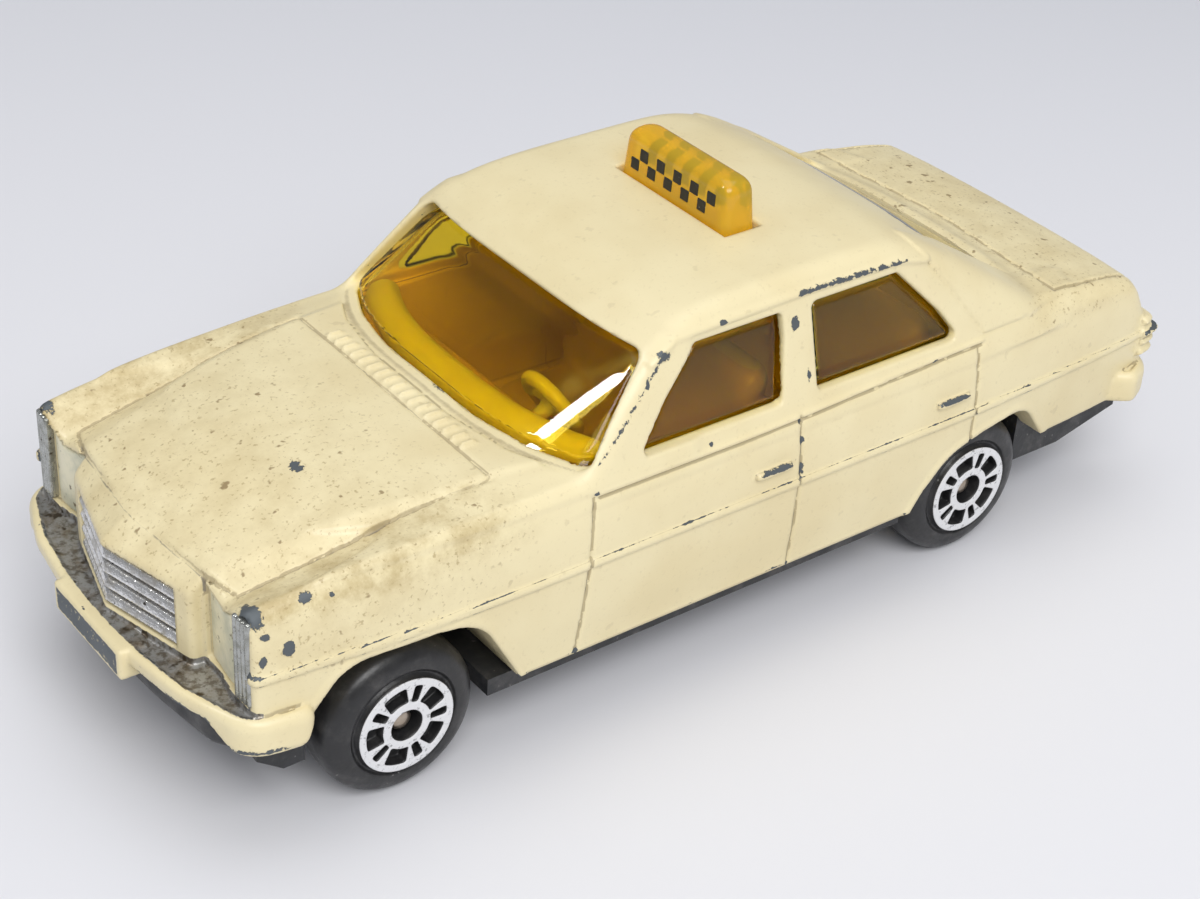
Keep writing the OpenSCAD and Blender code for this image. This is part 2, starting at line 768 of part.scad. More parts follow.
module body_casting() {
    color("Wheat") {
        difference() {
            union() {
                difference() {
                    union() {
                        lower_body(0);
                        cabin(0, skirt);
                    }
                    panel_grooves();
                }
                front_end();
                rear_end();
                handles();
                louvres();
            }
            lower_body(wall);
            cabin(cabin_wall, skirt + overrun);
            side_windows();
            screens();
            sign_slot();
            wheel_arch(front_axle_x, front_arch_shares);
            wheel_arch(rear_axle_x, rear_arch_shares);
        }
        posts();
    }
}

// Glazing: one shell under the roof and behind every window, with the sign on its top
module glazing() {
    outer = cabin_rings(cabin_wall + fit, skirt / 2);
    inner = cabin_rings(cabin_wall + fit + glass_thickness, skirt / 2);
    rings = concat([for (i = [len(inner) - 1:-1:0]) inner[i]], outer);
    color("Orange") {
        loft(rings);
        sign_block();
    }
}

// Interior
floor_thickness = 0.8;
floor_half = track_width / 2 - tyre_width - 4 * fit;
seat_gap = 0.8;
cushion_height = 3.4;
cushion_length = 6.5;
back_thickness = 1.8;
back_lean = 2.2;
seat_round = 0.7;
front_back_height = 11.4;
dash_sink = 0.4;
dash_height = belt_z - base_top_z - dash_sink;
dash_depth = 2.6;
dash_drop = 2.4;
dash_half = belt_half - cabin_wall - glass_thickness - 3 * fit;
dash_gap = 0.6;
dash_x = belt_front_x - (cabin_wall + glass_thickness + fit) * front_slope - seat_round - dash_gap;
front_seat_gap = 0.6;
rear_seat_gap = 2.6;
front_seat_x = middle_door_x + front_seat_gap;
rear_seat_x = rear_axle_x + rear_seat_gap;
bulkhead = 0.8;
rear_shelf_length = 5;
rear_shelf_z = belt_z - skirt / 2 - 2 * fit;
rear_back_height = rear_shelf_z - base_top_z;

module cushion(length, width, height) {
    hull()
        for (x = [seat_round, length - seat_round], y = [seat_round - width / 2, width / 2 - seat_round])
            translate([x, y, 0])
                cylinder(r = seat_round, h = height, $fn = 12);
}

module seat_back(width, height) {
    hull()
        for (y = [seat_round - width / 2, width / 2 - seat_round]) {
            translate([0, y, seat_round])
                sphere(seat_round, $fn = 12);
            translate([back_thickness, y, seat_round])
                sphere(seat_round, $fn = 12);
            translate([-back_lean, y, height - seat_round])
                sphere(seat_round, $fn = 12);
        }
}

module dash() {
    ends_x = dash_x - belt_front_bow * (dash_half / belt_half) ^ bow_power;
    hull()
        for (p = [[dash_x, dash_half / 3], [ends_x, dash_half - seat_round]], side = [-1, 1])
            translate([p[0], side * p[1], base_top_z + dash_height - dash_drop])
                cylinder(r = seat_round, h = dash_drop, $fn = 12);
}

steering_rim = 0.3;
steering_tilt = 115;
column_length = 2.6;
module steering() {
    translate([dash_x - dash_depth - column_length, floor_half / 2, base_top_z + dash_height - steering_rim])
        rotate([0, steering_tilt, 0]) {
            rotate_extrude($fn = hull_facets)
                translate([steering_diameter / 2 - steering_rim, 0])
                    circle(steering_rim, $fn = 8);
            cylinder(r = steering_rim, h = column_length + dash_depth, $fn = 12);
            cube([2 * steering_rim, steering_diameter - 2 * steering_rim, steering_rim], center = true);
        }
}

module interior() {
    seat_width = floor_half - seat_gap;
    floor_front = belt_corner_x - bulkhead;
    color("Gold") {
        translate([rear_seat_x + seat_gap, -floor_half, base_top_z])
            cube([floor_front - rear_seat_x - seat_gap, 2 * floor_half, floor_thickness]);
        translate([floor_front - bulkhead, -floor_half, base_top_z])
            cube([bulkhead, 2 * floor_half, dash_height - dash_drop / 2]);
        dash();
        steering();
        for (side = [-1, 1])
            translate([front_seat_x, side * (seat_width + seat_gap) / 2, base_top_z + floor_thickness / 2]) {
                cushion(cushion_length, seat_width, cushion_height);
                seat_back(seat_width, front_back_height);
            }
        translate([rear_seat_x + back_thickness / 2, 0, base_top_z + floor_thickness / 2]) {
            cushion(cushion_length, 2 * floor_half, cushion_height);
            seat_back(2 * floor_half, rear_back_height);
        }
        translate([rear_seat_x - back_lean - rear_shelf_length, -floor_half, rear_shelf_z - floor_thickness])
            cube([rear_shelf_length + back_thickness, 2 * floor_half, floor_thickness]);
    }
}

// Base
spine_half = track_width / 2 - tyre_width - 4 * fit;
base_half = body_half - sill_tuck - wall - fit;
bearing_length = 3.4;
bearing_rise = 1.1;
bearing_wall = 1.6;
mouth_share = 0.8;
base_end_gap = 0.4;
base_ramp_share = 0.55;
base_front_x = face_x - wall - base_end_gap;
base_rear_x = rear_face_x + wall + base_end_gap;
module base_outline() {
    translate([rear_axle_x - wing_reach - wing_wall, -spine_half])
        square([front_axle_x - rear_axle_x + 2 * (wing_reach + wing_wall), 2 * spine_half]);
    translate([rear_axle_x + wing_reach, -base_half])
        square([front_axle_x - rear_axle_x - 2 * wing_reach, 2 * base_half]);
}

// An end of the base: its underside ramps up to the bumper, and it is hollow above
module base_end(inner_x, outer_x, half, top_z) {
    ramp_x = mix(outer_x, inner_x, base_ramp_share);
    difference() {
        rotate([90, 0, 0])
            linear_extrude(2 * half, center = true)
                polygon([[inner_x, base_z], [ramp_x, base_z], [outer_x, sill_z],
                         [outer_x, top_z], [inner_x, top_z]]);
        translate([min(inner_x, outer_x) + wing_wall, wing_wall - half, pocket_z])
            cube([abs(outer_x - inner_x) - 2 * wing_wall, 2 * (half - wing_wall), top_z - sill_z]);
    }
}

module base_ends() {
    base_end(front_axle_x + wing_reach, base_front_x, base_half * plan_shares[7][1],
             sill_z + front_valance + base_lap);
    base_end(rear_axle_x - wing_reach, base_rear_x, base_half * plan_shares[0][1],
             sill_z + rear_valance + base_lap);
}

module bearings() {
    for (x = axle_places)
        translate([x - bearing_length / 2, -spine_half, base_z])
            cube([bearing_length, 2 * spine_half, axle_z + bearing_rise - base_z]);
}

module bearing_cuts() {
    bore = axle_diameter + 2 * running_fit;
    mouth = mouth_share * axle_diameter;
    channel = axle_diameter + 4 * fit;
    for (x = axle_places)
        translate([x, 0, axle_z]) {
            rotate([90, 0, 0])
                cylinder(d = bore, h = 2 * spine_half + overrun, center = true, $fn = round_facets);
            translate([-mouth / 2, -spine_half - overrun, 0])
                cube([mouth, 2 * (spine_half + overrun), bearing_rise + overrun]);
            translate([-channel / 2, -spine_half + bearing_wall, -axle_diameter / 2 - fit])
                cube([channel, 2 * (spine_half - bearing_wall), bearing_rise + axle_diameter + overrun]);
        }
}

module baseplate() {
    color("DimGray")
        difference() {
            union() {
                translate([0, 0, base_z])
                    linear_extrude(base_thickness)
                        base_outline();
                base_ends();
                bearings();
            }
            bearing_cuts();
            for (p = post_places)
                translate([p[0], 0, base_z]) {
                    translate([0, 0, -overrun])
                        cylinder(d = spigot_share * post_diameter + 2 * fit, h = p[1] - base_z + 2 * overrun,
                                 $fn = round_facets);
                    translate([0, 0, -overrun])
                        cylinder(d = head_share * post_diameter + 4 * fit, h = counterbore_depth + overrun,
                                 $fn = round_facets);
                }
        }
}

// Wheels and axles
hub_radius = 1.08;
hub_depth = 0.9;
axle_radius = axle_diameter / 2;
head_radius_share = 1.5;
head_length = 0.4;
head_play = 0.1;
wheel_face = track_width / 2;
shoulder_round = 0.9;
wall_drop = 0.15;
wheel_window_shares = [0.575, 0.84];
window_depth = 0.5;
wide_share = 0.52;
narrow_share = 0.2;

module axle(x) {
    head_y = wheel_face - hub_depth + head_play;
    color("Silver")
        translate([x, 0, axle_z])
            rotate([90, 0, 0]) {
                cylinder(r = axle_radius, h = 2 * head_y, center = true, $fn = round_facets);
                for (side = [0, 1])
                    mirror([0, 0, side])
                        translate([0, 0, head_y])
                            cylinder(r = axle_radius * head_radius_share, h = head_length,
                                     $fn = round_facets);
            }
}

// Windows of a wheel, as a flat outline
module wheel_windows() {
    inner = wheel_window_shares[0] * foil_radius;
    outer = wheel_window_shares[1] * foil_radius;
    step = 360 / window_count;
    for (i = [0:window_count - 1], kind = [[0, wide_share], [1 / 2, narrow_share]])
        rotate((i + kind[0]) * step) {
            half_angle = kind[1] * step / 2;
            polygon([[inner * cos(half_angle), -inner * sin(half_angle)],
                     [outer * cos(half_angle), -outer * sin(half_angle)],
                     [outer, 0],
                     [outer * cos(half_angle), outer * sin(half_angle)],
                     [inner * cos(half_angle), inner * sin(half_angle)]]);
        }
}

// Puts a wheel's own axis along the axle, with its face outwards
module at_wheel(x, side) {
    mirror([0, side < 0 ? 1 : 0, 0])
        translate([x, wheel_face - tyre_width, axle_z])
            rotate([-90, 0, 0])
                children();
}

module wheel(x, side) {
    bore = axle_radius + running_fit;
    color("DarkSlateGray")
        at_wheel(x, side)
            difference() {
                rotate_extrude($fn = round_facets)
                    polygon([[bore, 0],
                             [tyre_radius - shoulder_round, 0],
                             [tyre_radius - shoulder_round / 4, shoulder_round / 4],
                             [tyre_radius, shoulder_round],
                             [tyre_radius, tyre_width - shoulder_round],
                             [tyre_radius - shoulder_round / 4, tyre_width - shoulder_round / 2],
                             [tyre_radius - shoulder_round, tyre_width - wall_drop],
                             [foil_radius + 2 * wall_drop, tyre_width - wall_drop],
                             [foil_radius + wall_drop, tyre_width - 2 * wall_drop],
                             [foil_radius, tyre_width],
                             [hub_radius, tyre_width],
                             [hub_radius, tyre_width - hub_depth],
                             [bore, tyre_width - hub_depth]]);
                translate([0, 0, tyre_width - window_depth])
                    linear_extrude(window_depth + overrun)
                        wheel_windows();
            }
}

module foil(x, side) {
    color("White")
        at_wheel(x, side)
            translate([0, 0, tyre_width])
                linear_extrude(foil_thickness)
                    difference() {
                        circle(foil_radius, $fn = round_facets);
                        circle(hub_radius, $fn = round_facets);
                        wheel_windows();
                    }
}

body_casting();
glazing();
interior();
baseplate();
axle(front_axle_x);  // front_axle
axle(rear_axle_x);  // rear_axle
wheel(front_axle_x, 1);  // wheel_front_left
wheel(front_axle_x, -1);  // wheel_front_right
wheel(rear_axle_x, 1);  // wheel_rear_left
wheel(rear_axle_x, -1);  // wheel_rear_right
foil(front_axle_x, 1);  // foil_front_left
foil(front_axle_x, -1);  // foil_front_right
foil(rear_axle_x, 1);  // foil_rear_left
foil(rear_axle_x, -1);  // foil_rear_right
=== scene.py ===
"""Looks of a worn die-cast toy taxi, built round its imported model."""
import functools
import math

import bpy
import numpy as np
from mathutils import Matrix, Vector

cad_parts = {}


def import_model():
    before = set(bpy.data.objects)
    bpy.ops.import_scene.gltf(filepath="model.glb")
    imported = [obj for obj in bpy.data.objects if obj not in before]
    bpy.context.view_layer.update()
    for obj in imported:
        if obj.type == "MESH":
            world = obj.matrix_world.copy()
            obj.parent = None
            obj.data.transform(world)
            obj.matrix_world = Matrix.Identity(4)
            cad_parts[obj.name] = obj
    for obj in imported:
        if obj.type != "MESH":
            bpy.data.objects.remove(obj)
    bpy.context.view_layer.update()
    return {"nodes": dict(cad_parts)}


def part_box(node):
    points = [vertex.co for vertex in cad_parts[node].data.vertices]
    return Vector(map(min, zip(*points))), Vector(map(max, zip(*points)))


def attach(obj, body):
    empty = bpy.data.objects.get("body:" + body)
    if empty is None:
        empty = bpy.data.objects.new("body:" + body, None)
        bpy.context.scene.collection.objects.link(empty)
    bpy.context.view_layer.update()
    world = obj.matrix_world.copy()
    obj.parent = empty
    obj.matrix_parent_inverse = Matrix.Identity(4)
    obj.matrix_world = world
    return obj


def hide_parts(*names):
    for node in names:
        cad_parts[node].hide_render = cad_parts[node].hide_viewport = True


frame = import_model()

# Sizes are in millimetres, and a millimetre is this long in the scene
MM = 0.001


def box_mm(node):
    """Lowest and highest corner of a node, in millimetres."""
    return [np.array(corner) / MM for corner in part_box(node)]


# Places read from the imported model
body_low, body_high = box_mm("body_casting")
front_low, front_high = box_mm("wheel_front_left")
rear_low, rear_high = box_mm("wheel_rear_left")
NOSE, TAIL, ROOF = body_high[0], body_low[0], body_high[2]
SIGN_TOP, BASE_LOW = box_mm("glazing")[1][2], box_mm("baseplate")[0][2]
FRONT_AXLE = (front_low[0] + front_high[0]) / 2
REAR_AXLE = (rear_low[0] + rear_high[0]) / 2
TYRE_RADIUS = (front_high[2] - front_low[2]) / 2
TYRE_WIDTH = front_high[1] - front_low[1]
WHEEL_FACE = front_high[1]
AXLE_Z = TYRE_RADIUS

# Heights and places that follow from them
SILL = AXLE_Z + 0.5
CREASE = SILL + 6.7
SHOULDER = SILL + 10.8
BELT = SHOULDER + 1.2
RAIL = BELT + 6.15
FACE = NOSE - 2.9
REAR = TAIL + 0.75
HALF = 14.45
BELT_HALF, RAIL_HALF = HALF - 0.85, HALF - 2.45
BELT_FRONT, RAIL_FRONT = NOSE - 21.35, NOSE - 30.05
RAIL_REAR = RAIL_FRONT - 25.8
BELT_REAR = RAIL_REAR - 10.2
ROOF_MIDDLE = (RAIL_FRONT + RAIL_REAR) / 2
CABIN_WALL = 0.75
BODY_CELL = 0.18


# Fields: numbers below zero are inside the shape, and numbers near zero are distances


def soft_max(a, b, k):
    """The larger of two numbers, with the edge between them rounded over a size k."""
    h = np.clip(0.5 + 0.5 * (a - b) / k, 0, 1)
    return b + (a - b) * h + k * h * (1 - h)


def soft_min(a, b, k):
    return -soft_max(-a, -b, k)


def smallest(fields):
    """The smallest of some fields, which is all their shapes as one."""
    return functools.reduce(np.minimum, fields)


def largest(fields):
    """The largest of some fields, which is what their shapes share."""
    return functools.reduce(np.maximum, fields)


def ramp(value, low, high):
    """A smooth step from 0 at low to 1 at high."""
    t = np.clip((value - low) / (high - low), 0, 1)
    return t * t * (3 - 2 * t)


def curve(points, place):
    """A smooth curve through points of place and value, flat beyond its ends."""
    px, py = np.array(points, float).T
    step = np.diff(px)
    rise = np.diff(py) / step
    turn = rise[:-1] * rise[1:]
    inner = np.where(turn > 0, 2 * turn / np.where(turn > 0, rise[:-1] + rise[1:], 1), 0)
    slope = np.pad(inner, 1)
    i = np.clip(np.searchsorted(px, place) - 1, 0, len(step) - 1)
    t = np.clip((place - px[i]) / step[i], 0, 1)
    t2, t3 = t * t, t * t * t
    return (
        (2 * t3 - 3 * t2 + 1) * py[i]
        + (t3 - 2 * t2 + t) * step[i] * slope[i]
        + (3 * t2 - 2 * t3) * py[i + 1]
        + (t3 - t2) * step[i] * slope[i + 1]
    )


def hull(circles, u, v, directions=48):
    """Distance to the convex outline round circles of u, v and radius."""
    def beyond(angle):
        c, s = math.cos(angle), math.sin(angle)
        return c * u + s * v - max(c * cu + s * cv + r for cu, cv, r in circles)

    return largest(beyond(angle) for angle in np.arange(directions) * 2 * math.pi / directions)


def segment(u, v, start, end):
    """Distance in a plane to a straight line between two points."""
    du, dv = end[0] - start[0], end[1] - start[1]
    t = np.clip(((u - start[0]) * du + (v - start[1]) * dv) / (du * du + dv * dv), 0, 1)
    return np.hypot(u - start[0] - t * du, v - start[1] - t * dv)


def path(u, v, points):
    """Distance in a plane to a line through points."""
    return smallest(segment(u, v, start, end) for start, end in zip(points, points[1:]))


def bump(distance, width):
    """1 on a line and 0 from half a width away, with round shoulders."""
    return 1 - ramp(distance, 0, width / 2)


# Lower body

# Half width along the car
PLAN = [(REAR, 13.0), (-34.7, 13.4), (-27.4, 13.95), (-15.7, HALF), (15.0, HALF), (24.5, 14.2),
        (31.8, 13.7), (FACE, 13.4)]
# How far the side draws in, by height
TUCK = [(SILL, 0.35), (SILL + 3.4, 0.1), (CREASE, 0), (CREASE + 2.2, 0.14), (SHOULDER, 0.5),
        (SHOULDER + 2, 1.2)]
# Rows along the car: rise of the middle, then place across and rise of the panel's crease, of the gutter
# and of the wing
DECK = [
    (REAR, -0.1, 8.0, -0.16, 11.4, -0.3, 12.3, -0.6),
    (-35.8, 0.3, 8.0, 0.22, 11.7, 0.05, 12.6, -0.2),
    (-31.3, 1.2, 8.0, 1.12, 12.0, 0.95, 13.1, 0.6),
    (-25.05, 1.66, 8.0, 1.6, 12.2, 1.5, 13.5, 1.12),
    (12.75, 1.95, 10.8, 1.75, 11.5, 1.6, 13.4, 1.2),
    (17.3, 2.0, 10.4, 1.85, 11.0, 1.6, 13.05, 1.15),
    (24.0, 1.66, 9.5, 1.3, 10.6, 0.75, 12.85, 0.9),
    (29.8, 0.92, 8.3, 0.5, 10.05, -0.25, 12.6, 0.55),
    (33.7, 0.02, 7.3, -0.28, 9.75, -0.95, 12.35, 0.12),
    (FACE, -0.6, 7.0, -0.85, 9.6, -1.4, 12.2, -0.2),
]


def deck_line(column, x):
    return curve([(row[0], row[column]) for row in DECK], x)


def soft_step(value, low, high):
    """A step from 0 to 1 that is half straight and half smooth."""
    return (np.clip((value - low) / (high - low), 0, 1) + ramp(value, low, high)) / 2


def deck(x, across):
    """Height of the bonnet, the wings and the boot."""
    middle, fold, fold_rise, gutter, gutter_rise, wing, wing_rise = (deck_line(c, x) for c in range(1, 8))
    side = curve(PLAN, x)
    return (
        SHOULDER
        + middle
        + (fold_rise - middle) * np.clip(across / fold, 0, 1) ** 2
        + (gutter_rise - fold_rise) * soft_step(across, fold, gutter)
        + (wing_rise - gutter_rise) * soft_step(across, gutter, wing)
        - (wing_rise + 0.4) * np.clip((across - wing) / (side - wing), 0, 2) ** 2
    )


# The front face's place along the car, across it
FRONT_PLAN = [(0, FACE - 0.05), (3.5, FACE - 0.5), (7, FACE - 0.95), (8.5, FACE - 0.98), (11.5, FACE - 0.6),
              (13.4, FACE - 0.75)]


def lower_body(x, across, z):
    share = across / HALF
    side = across - (curve(PLAN, x) - curve(TUCK, z))
    front = x - curve(FRONT_PLAN, across)
    lean = 2.8 * np.clip((z - CREASE) / (SHOULDER + 1.6 - CREASE), 0, 1.4)
    rear = REAR + lean + 0.3 * share**2 + 0.9 * share**14 - x
    top = z - deck(x, across)
    body = soft_max(side, top, 0.7)
    body = soft_max(body, front, 0.55)
    return soft_max(body, 0.9 * rear, 0.8)


# Cabin


def cabin_half(z):
    return BELT_HALF + (RAIL_HALF - BELT_HALF) * (z - BELT) / (RAIL - BELT)


def cabin(x, across, z):
    up = (z - BELT) / (RAIL - BELT)
    half = cabin_half(z)
    share = (across / half) ** 2.8
    side = 0.97 * (across - half)
    front = 0.577 * (x - (BELT_FRONT + (RAIL_FRONT - BELT_FRONT) * up) + (4.3 - 2.9 * up) * share)
    rear = 0.516 * ((BELT_REAR + (RAIL_REAR - BELT_REAR) * up) + (2.6 - 1.0 * up) * share - x)
    along = np.abs(x - ROOF_MIDDLE) / ((RAIL_FRONT - RAIL_REAR) / 2)
    crown = ROOF - (ROOF - RAIL) * np.minimum(along, 1) ** 4 - 0.3 * (across / RAIL_HALF) ** 4
    shape = soft_max(side, front, 0.8)
    shape = soft_max(shape, rear, 1.6)
    shape = soft_max(shape, z - crown, 1.1)
    return soft_max(shape, BELT - 1.6 - z, 0.2)


# Windows

WINDOW_LOW, WINDOW_HIGH = BELT + 0.25, RAIL - 0.25
WINDOW_ROUND = 0.45
# Corners of the two side windows along the car: low front, low rear, high rear and high front
SIDE_WINDOWS = [(8.6, -2.24, -2.73, 4.39), (-5.06, -16.84, -12.44, -5.05)]
SCREEN_FOOT_RISE, SCREEN_HEAD_RISE = 0.5, 0.1


def screen(across, z, low_half, high_half, low, foot_rise):
    """A windscreen's opening, seen along the car."""
    lean = (low_half - high_half) / (WINDOW_HIGH - low)
    side = 0.95 * (across - (low_half - lean * (z - low)))
    foot = low + foot_rise * (1 - (across / low_half) ** 2) - z
    head = z - WINDOW_HIGH - SCREEN_HEAD_RISE * (1 - (across / high_half) ** 2)
    return soft_max(soft_max(side, foot, 0.8), head, 0.8)


def window_circles(low_front, low_rear, high_rear, high_front):
    """Circles in the corners of a side window."""
    corners = np.array([(low_front, WINDOW_LOW), (low_rear, WINDOW_LOW), (high_rear, WINDOW_HIGH),
                        (high_front, WINDOW_HIGH)])
    middle = np.mean(corners, axis=0)
    return [(*(corner + WINDOW_ROUND * np.sign(middle - corner)), WINDOW_ROUND) for corner in corners]


def side_window(x, z):
    return smallest(hull(window_circles(*corners), x, z) for corners in SIDE_WINDOWS)


def windscreen(x, across, z):
    return np.maximum(screen(across, z, BELT_HALF - 0.35, RAIL_HALF - 0.7, WINDOW_LOW, SCREEN_FOOT_RISE),
                      ROOF_MIDDLE - x)


def rear_screen(x, across, z):
    return np.maximum(screen(across, z, BELT_HALF - 3.7, RAIL_HALF - 3.35, WINDOW_LOW + 0.35, 0.4),
                      x - ROOF_MIDDLE)


# Wheel arches: circles along the car, up and radius, in shares of the arch's radius

ARCH_RADIUS = TYRE_RADIUS + 1.3
FRONT_ARCH = [(0.4, 0.5, 0.49), (-0.36, 0.42, 0.55), (1.1, 0.3, 0.02), (-1.18, 0.03, 0.02),
              (1.1, -1, 0.02), (-1.18, -1, 0.02)]
REAR_ARCH = [(-0.42, 0.46, 0.39), (0.15, 0.1, 0.64), (-1.03, 0.26, 0.02), (0.93, 0.03, 0.02),
             (-1.03, -1, 0.02), (0.93, -1, 0.02)]


def arch(axle, shares, x, z):
    circles = [(axle + u * ARCH_RADIUS, AXLE_Z + v * ARCH_RADIUS, r * ARCH_RADIUS) for u, v, r in shares]
    return hull(circles, x, z)


def arches(x, z):
    return np.minimum(arch(FRONT_AXLE, FRONT_ARCH, x, z), arch(REAR_AXLE, REAR_ARCH, x, z))


# Panel lines and raised detail

LINE_WIDTH, LINE_DEPTH = 0.36, 0.2
FRONT_DOOR, MIDDLE_DOOR, REAR_DOOR = 12.45, -3.44, -18.77
BONNET_REAR, BONNET_FRONT = 18.1, 35.3
BOOT_LINE = BELT_REAR - 0.5
LOUVRE_X, LOUVRE_PITCH, LOUVRE_WIDTH, LOUVRE_HALF_ROW = BONNET_REAR - 1.1, 0.93, 1.7, 8.0
HANDLE_Z, HANDLE_LENGTH = CREASE + 1.6, 2.4
# How far the raised lines stand out
BAND_RISE, WAIST_RISE, HANDLE_RISE, ARCH_RISE = 0.2, 0.16, 0.38, 0.1
LOUVRE_RISE, DRIP_RISE, RIM_RISE, PILLAR_RISE, FOLD_DEPTH = 0.26, 0.24, 0.2, 0.12, 0.08
# The drip rail and the fold in the rear pillar, along the car and up
DRIP_RAIL = [(7.4, 23.2), (5.6, 24.25), (-5.0, 24.42), (-12.5, 24.3), (-14.75, 23.75)]
PILLAR_FOLD = [(-14.75, 23.75), (-19.3, 17.7), (-23.4, 17.75)]


def panel_lines(x, across, z):
    """How deep the grooves between the panels are."""
    low = SILL + 0.3
    doors = smallest((
        segment(x, z, (FRONT_DOOR, BELT - 1), (FRONT_DOOR + 0.9, low)),
        segment(x, z, (MIDDLE_DOOR, BELT - 0.7), (MIDDLE_DOOR, low)),
        segment(x, z, (REAR_DOOR, BELT - 0.7), (REAR_DOOR, AXLE_Z + 3.2)),
    ))
    bonnet = path(x, across, [(BONNET_REAR - 0.25, 0), (BONNET_REAR - 0.45, 10.85), (33.6, 9.75), (34.1, 8.4),
                              (34.45, 7.0), (BONNET_FRONT, 0)])
    boot = path(x, across, [(BOOT_LINE, 0), (BOOT_LINE + 0.9, 12.15), (REAR + 1.2, 11.6)])
    lids = bump(np.minimum(bonnet, boot), LINE_WIDTH) * ramp(z, SHOULDER - 2.2, SHOULDER - 1.8)
    return LINE_DEPTH * bump(doors, LINE_WIDTH) + LINE_DEPTH * lids


def flank(across, start=8):
    """1 on the sides of the car and 0 between them."""
    return ramp(across, start, start + 1)


def raised(x, across, z):
    """How far the casting's raised lines and ribs stand out."""
    out = BAND_RISE * (1 - ramp(np.abs(z - CREASE), 0.2, 0.36))
    for door in (MIDDLE_DOOR, REAR_DOOR):
        start = door + 1.1
        handle = segment(x, z, (start, HANDLE_Z), (start + HANDLE_LENGTH, HANDLE_Z))
        out = out + HANDLE_RISE * (1 - ramp(handle, 0.12, 0.36))
    out = (out + ARCH_RISE * (1 - ramp(arches(x, z), 0.3, 0.7))) * flank(across)
    waist = z - SHOULDER - 0.1 - 0.5 * ramp(-x, -2, 20)
    waist_line = bump(np.abs(waist - 0.3), 0.5) - bump(np.abs(waist), 0.34)
    doors = ramp(-x, -12.4, -12) * ramp(x, -19.5, -19)
    out = out + WAIST_RISE * waist_line * flank(across, 11) * doors
    ribs = 0.5 + 0.5 * np.cos(2 * math.pi * across / LOUVRE_PITCH)
    row = bump(np.abs(x - LOUVRE_X), LOUVRE_WIDTH) * ramp(z, BELT - 0.5, BELT)
    row = row * (1 - ramp(across, LOUVRE_HALF_ROW - 0.1, LOUVRE_HALF_ROW + 0.1))
    return out + LOUVRE_RISE * ribs**3 * np.minimum(1.8 * row, 1)


def roof_lines(x, across, z):
    """The drip rail over the side windows, the rim round the windscreen and the folds of the rear pillars."""
    rim = np.abs(windscreen(x, across, z) - 0.5)
    fold_x, fold_z = PILLAR_FOLD[0]
    behind = ramp(fold_x - x - (fold_z - z) * 0.75, -0.1, 0.25) * ramp(z, 17.6, 17.85)
    side = DRIP_RISE * bump(path(x, z, DRIP_RAIL), 0.75) + PILLAR_RISE * behind
    side = (side - FOLD_DEPTH * bump(path(x, z, PILLAR_FOLD), 0.4)) * flank(across, 9)
    return side + RIM_RISE * (1 - ramp(rim, 0.2, 0.65)) * ramp(x, 4, 5)


# Front and rear ends

SHELF = SILL + 4.21
BUMPER_LOW = SILL + 1.5
GRILLE_HALF, GRILLE_TOP = 7.2, SHOULDER - 1.8
OPENING_HALF, OPENING_LOW, OPENING_HIGH = 5.85, SHELF + 0.35, GRILLE_TOP - 0.3
LAMP_IN, LAMP_OUT = 7.3, 12.75
LAMP_LOW, LAMP_HIGH = SHELF + 0.25, SHOULDER - 0.35


def grille_front(across):
    return FACE + 1.6 - 0.25 * np.minimum(across, GRILLE_HALF + 1)


def box(value, low, high):
    return np.maximum(low - value, value - high)


def grille_block(x, across, z):
    line = BONNET_FRONT - 0.12 * across
    share = np.maximum((x - line) / (grille_front(across) - line), 0)
    header = 0.8 * (z - (SHOULDER - 0.5 - 0.06 * across) + share * (1.3 - 0.06 * across))
    block = soft_max(x - grille_front(across), across - GRILLE_HALF, 0.45)
    block = soft_max(block, header, 0.3)
    block = soft_max(block, np.maximum(SHELF - 0.4 - z, FACE - 1.5 - x), 0.1)
    pocket = soft_max(box(z, OPENING_LOW, OPENING_HIGH), across - OPENING_HALF, 0.2)
    return soft_max(block, -np.maximum(pocket, grille_front(across) - 0.75 - x), 0.15)


BAR_LOW, BAR_SOFT, LIP_WIDTH, LIP_RISE, BEAD = SHELF - 1.05, 0.35, 0.7, 0.2, 0.75
PLATE_HALF, PLATE_HEIGHT, PLATE_SOFT = 4.2, 2.05, 0.25


def bumper_outline(x, across, circles):
    return hull(circles + [(u, -v, r) for u, v, r in circles], x, across, 96)


def bumper(x, across, z, circles):
    """A bar round an end of the car that grows deeper at its corners, with a shelf behind its lip."""
    ring = bumper_outline(x, across, circles)
    corner = ramp(across, 10.4, 13.0)
    low = BAR_LOW + (BUMPER_LOW - BAR_LOW) * corner
    high = SHELF - LIP_RISE * ramp(-ring, LIP_WIDTH - 0.2, LIP_WIDTH + 0.1)
    return soft_max(ring, box(z, low, high), BAR_SOFT + 0.5 * corner)


# Circles in the bumpers' outlines from above: along the car, across it and radius
FRONT_BUMPER = [(NOSE - 1.1, 0, BEAD), (NOSE - 1.27, 4.2, BEAD), (NOSE - 1.88, 8.65, BEAD),
                (NOSE - 4.75, 11.6, 2.55), (NOSE - 6.3, 13.65, BEAD), (NOSE - 6.3, 0, BEAD)]
REAR_BUMPER = [(TAIL + BEAD, 0, BEAD), (TAIL + 0.82, 4.2, BEAD), (TAIL + 1.1, 8.65, BEAD),
               (TAIL + 3.0, 11.7, 2.4), (TAIL + 3.2, 13.6, BEAD), (TAIL + 3.2, 0, BEAD)]


